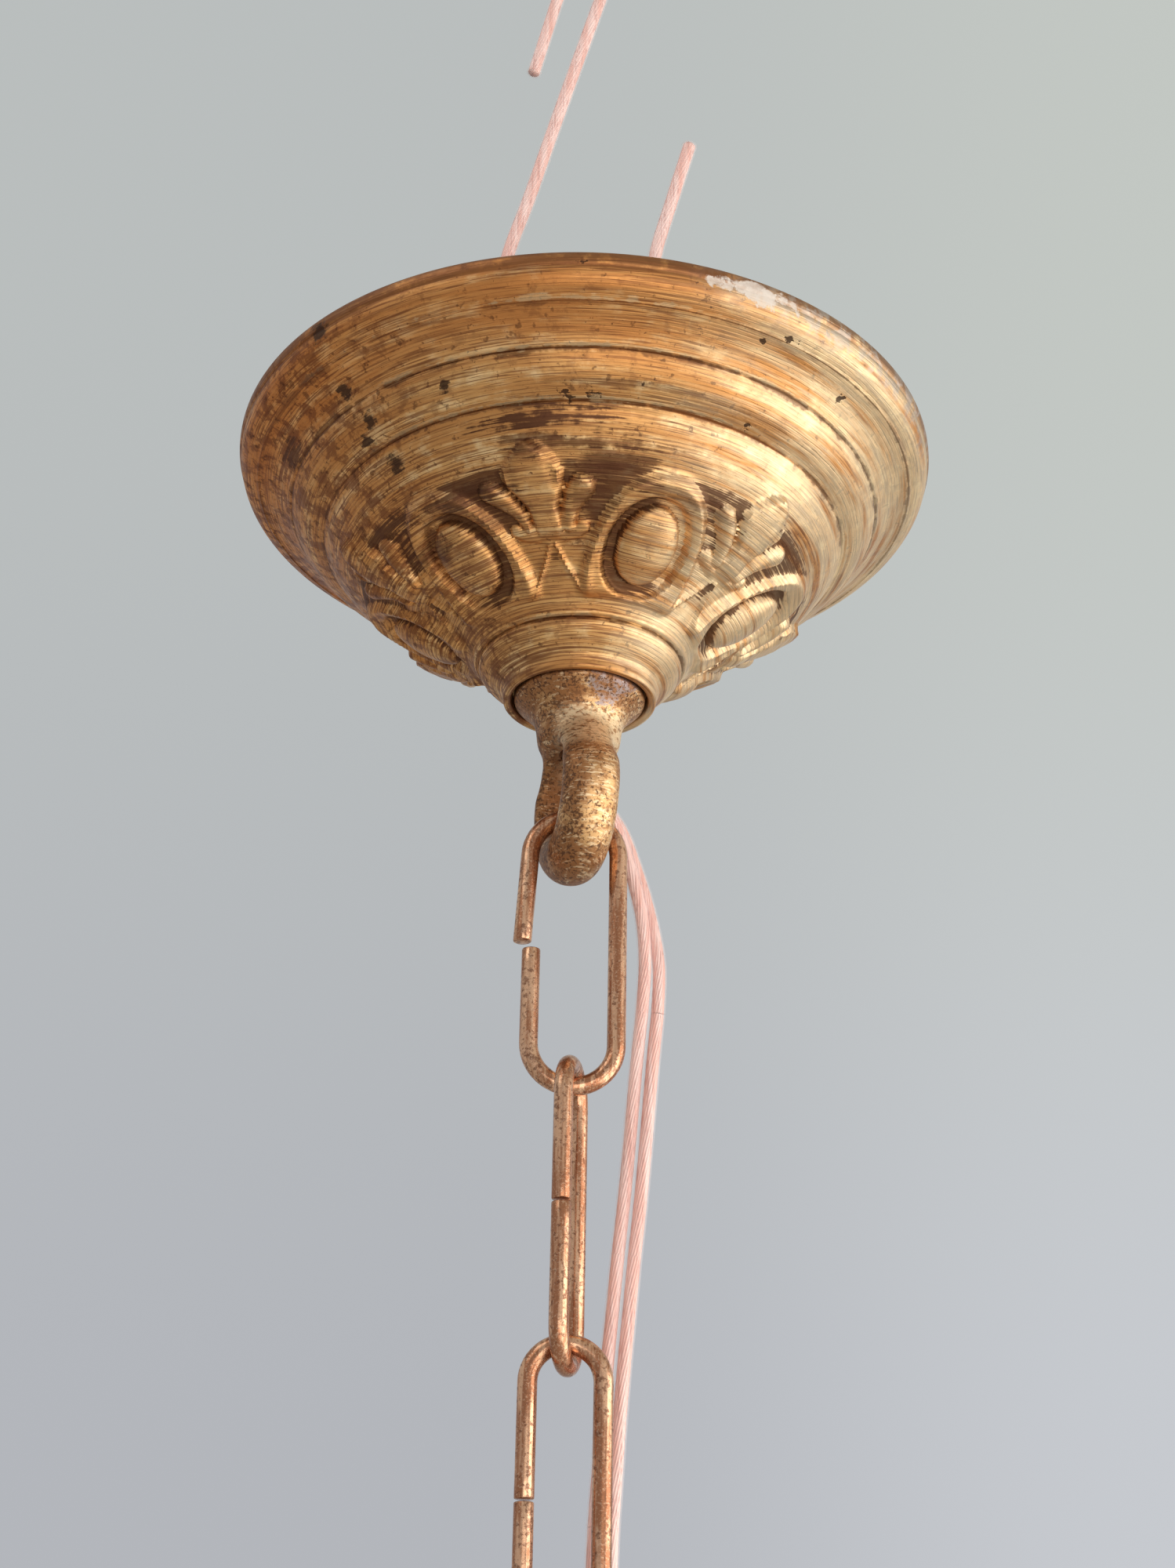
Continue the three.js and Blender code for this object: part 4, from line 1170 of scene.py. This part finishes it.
sheathLook = {
    "pink": (0.98, 0.91, 0.88, 1), "clear": (1.0, 0.97, 0.95, 1), "haze": (260.0, 2.0, 0.5),
    "roughness": (0.08, 0.16), "alpha": 0.2, "coat": 1.0, "coatRoughness": 0.06,
}


def sheathFinish():
    f = Finish("clearSheath")
    look = sheathLook
    haze = f.noise(f.place(), *look["haze"])
    f.feed(
        colour=f.mix(f.ramp(haze, 0.3, 0.7), look["pink"], look["clear"]),
        roughness=f.ramp(haze, 0.3, 0.7, *look["roughness"]), alpha=look["alpha"], coat=look["coat"],
        coatRoughness=look["coatRoughness"],
    )
    return f.material


copperLook = {
    "copper": (0.87, 0.41, 0.30, 1), "pale": (0.96, 0.65, 0.56, 1), "shade": (0.60, 0.22, 0.15, 1),
    "tone": ((900.0, 900.0, 40.0), 2.0, 0.5), "hairs": ((3000.0, 3000.0, 70.0), 1.0, 0.5),
    "roughness": (0.36, 0.5), "metallic": 0.35,
}


def copperFinish():
    f = Finish("copperStrands")
    look = copperLook
    tone, hairs = f.noises(f.place(), look, "tone hairs")
    colour = f.mix(f.ramp(tone, 0.35, 0.65), look["copper"], look["pale"])
    f.feed(
        colour=f.mix(f.ramp(hairs, 0.54, 0.66) * 0.7, colour, look["shade"]),
        roughness=f.ramp(tone, 0.3, 0.7, *look["roughness"]), metallic=look["metallic"],
    )
    return f.material


gilt = giltFinish()
cast = castFinish("castBrass", True)
lampCast = castFinish("lampCastBrass", False)
wire = wireFinish()
steel = steelFinish()
bush = bushFinish()
sheath = sheathFinish()
copper = copperFinish()

settle(canopy, "canopy", "canopy_shell", gilt)
settle(ceilingLoop, "canopy", "ceiling_loop", cast)
settle(lampLoop, "lamp_loop", "lamp_loop", lampCast)
for number, link in enumerate(links, 1):
    settle(link, f"link_{number}", f"link_{number}", wire)
settle(ceilingStem, "canopy", "stem_nipple", steel)
settle(lampStem, "lamp_loop", "lamp_nipple", steel)
settle(hangerBolt, "canopy", "hanger_bolt", steel)
for piece in flexPieces:
    piece.data.materials[0] = sheath
    piece.data.materials[1] = copper

# The CAD's plain fittings get eased edges
fittingEdge = 0.22
for name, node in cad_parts.items():
    if not node.hide_render:
        node.data.materials.clear()
        node.data.materials.append(bush if name == "flex_bush" else steel)
        node.modifiers.new("Weld", "WELD").merge_threshold = weldGap
        edge = node.modifiers.new("Bevel", "BEVEL")
        edge.width, edge.segments, edge.limit_method, edge.angle_limit = fittingEdge * mm, 2, "ANGLE", rad(40)
print("finishes given")


# Room: floor far below, lamps and the wall's colour behind

roomLook = {
    "floorZ": -0.9, "floorSize": 8, "floor": (0.62, 0.62, 0.60, 1), "floorPale": (0.66, 0.66, 0.64, 1),
    "floorGrain": (30.0, 3.0, 0.55), "wallLeftLow": (0.453, 0.468, 0.500, 1),
    "wallLeftHigh": (0.490, 0.515, 0.512, 1), "wallRightLow": (0.570, 0.590, 0.624, 1),
    "wallRightHigh": (0.545, 0.575, 0.545, 1), "daylight": (0.95, 0.97, 1.0, 1), "light": 0.6,
    "lampsAim": (0, 0, -0.05),
}
lamps = [
    # name, place, size, watts, colour
    ("windowRight", (1.1, -0.3, -0.35), 1.4, 14.2, (1.0, 0.985, 0.96)),
    ("frontLow", (0.3, -1.2, -0.5), 1.0, 6.0, (1.0, 0.985, 0.96)),
    ("topLeft", (-0.8, -0.7, 0.9), 0.8, 2.5, (0.95, 0.98, 1.0)),
]


def layFloor():
    look = roomLook
    deselect()
    bpy.ops.mesh.primitive_plane_add(size=look["floorSize"], location=(0, 0, look["floorZ"]))
    floor = bpy.context.object
    floor.name = "floor"
    f = Finish("paleFloor")
    grain = f.noise(f.place(), *look["floorGrain"])
    f.feed(colour=f.mix(grain, look["floor"], look["floorPale"]), roughness=0.7)
    floor.data.materials.append(f.material)


def placeLamps():
    for name, place, size, watts, colour in lamps:
        data = bpy.data.lights.new(name, "AREA")
        data.size, data.energy, data.color = size, watts, colour
        lamp = bpy.data.objects.new(name, data)
        lamp.location = place
        aim = Vector(roomLook["lampsAim"]) - Vector(place)
        lamp.rotation_euler = aim.to_track_quat("-Z", "Y").to_euler()
        bpy.context.scene.collection.objects.link(lamp)


def paintWall():
    look = roomLook
    world = bpy.data.worlds.new("room")
    world.use_nodes = True
    bpy.context.scene.world = world
    f = Finish("room", world.node_tree)
    x, y, z = f.split(f.add("ShaderNodeTexCoord", {}, {}, "Generated"))
    upwards = f.ramp(z, 0.15, 0.65)
    left = f.mix(upwards, look["wallLeftLow"], look["wallLeftHigh"])
    right = f.mix(upwards, look["wallRightLow"], look["wallRightHigh"])
    wall = f.mix(f.ramp(x, -0.06, 0.26), left, right)
    # the wall's colour is what is seen and mirrored, and a paler, weaker daylight falls on the pieces
    rays = f.add("ShaderNodeLightPath", {}, {}).socket.node.outputs
    camera, glossy, through = (
        Value(f, rays[f"Is {kind} Ray"]) for kind in ("Camera", "Glossy", "Transmission"))
    seen = f.ramp(camera + glossy + through, 0.0, 1.0)
    background = world.node_tree.nodes["Background"]
    f.put(f.mix(seen, look["daylight"], wall), background.inputs["Color"])
    f.put(seen * (1 - look["light"]) + look["light"], background.inputs["Strength"])


layFloor()
placeLamps()
paintWall()
bpy.context.scene.view_settings.view_transform = "Standard"
print("room lit")
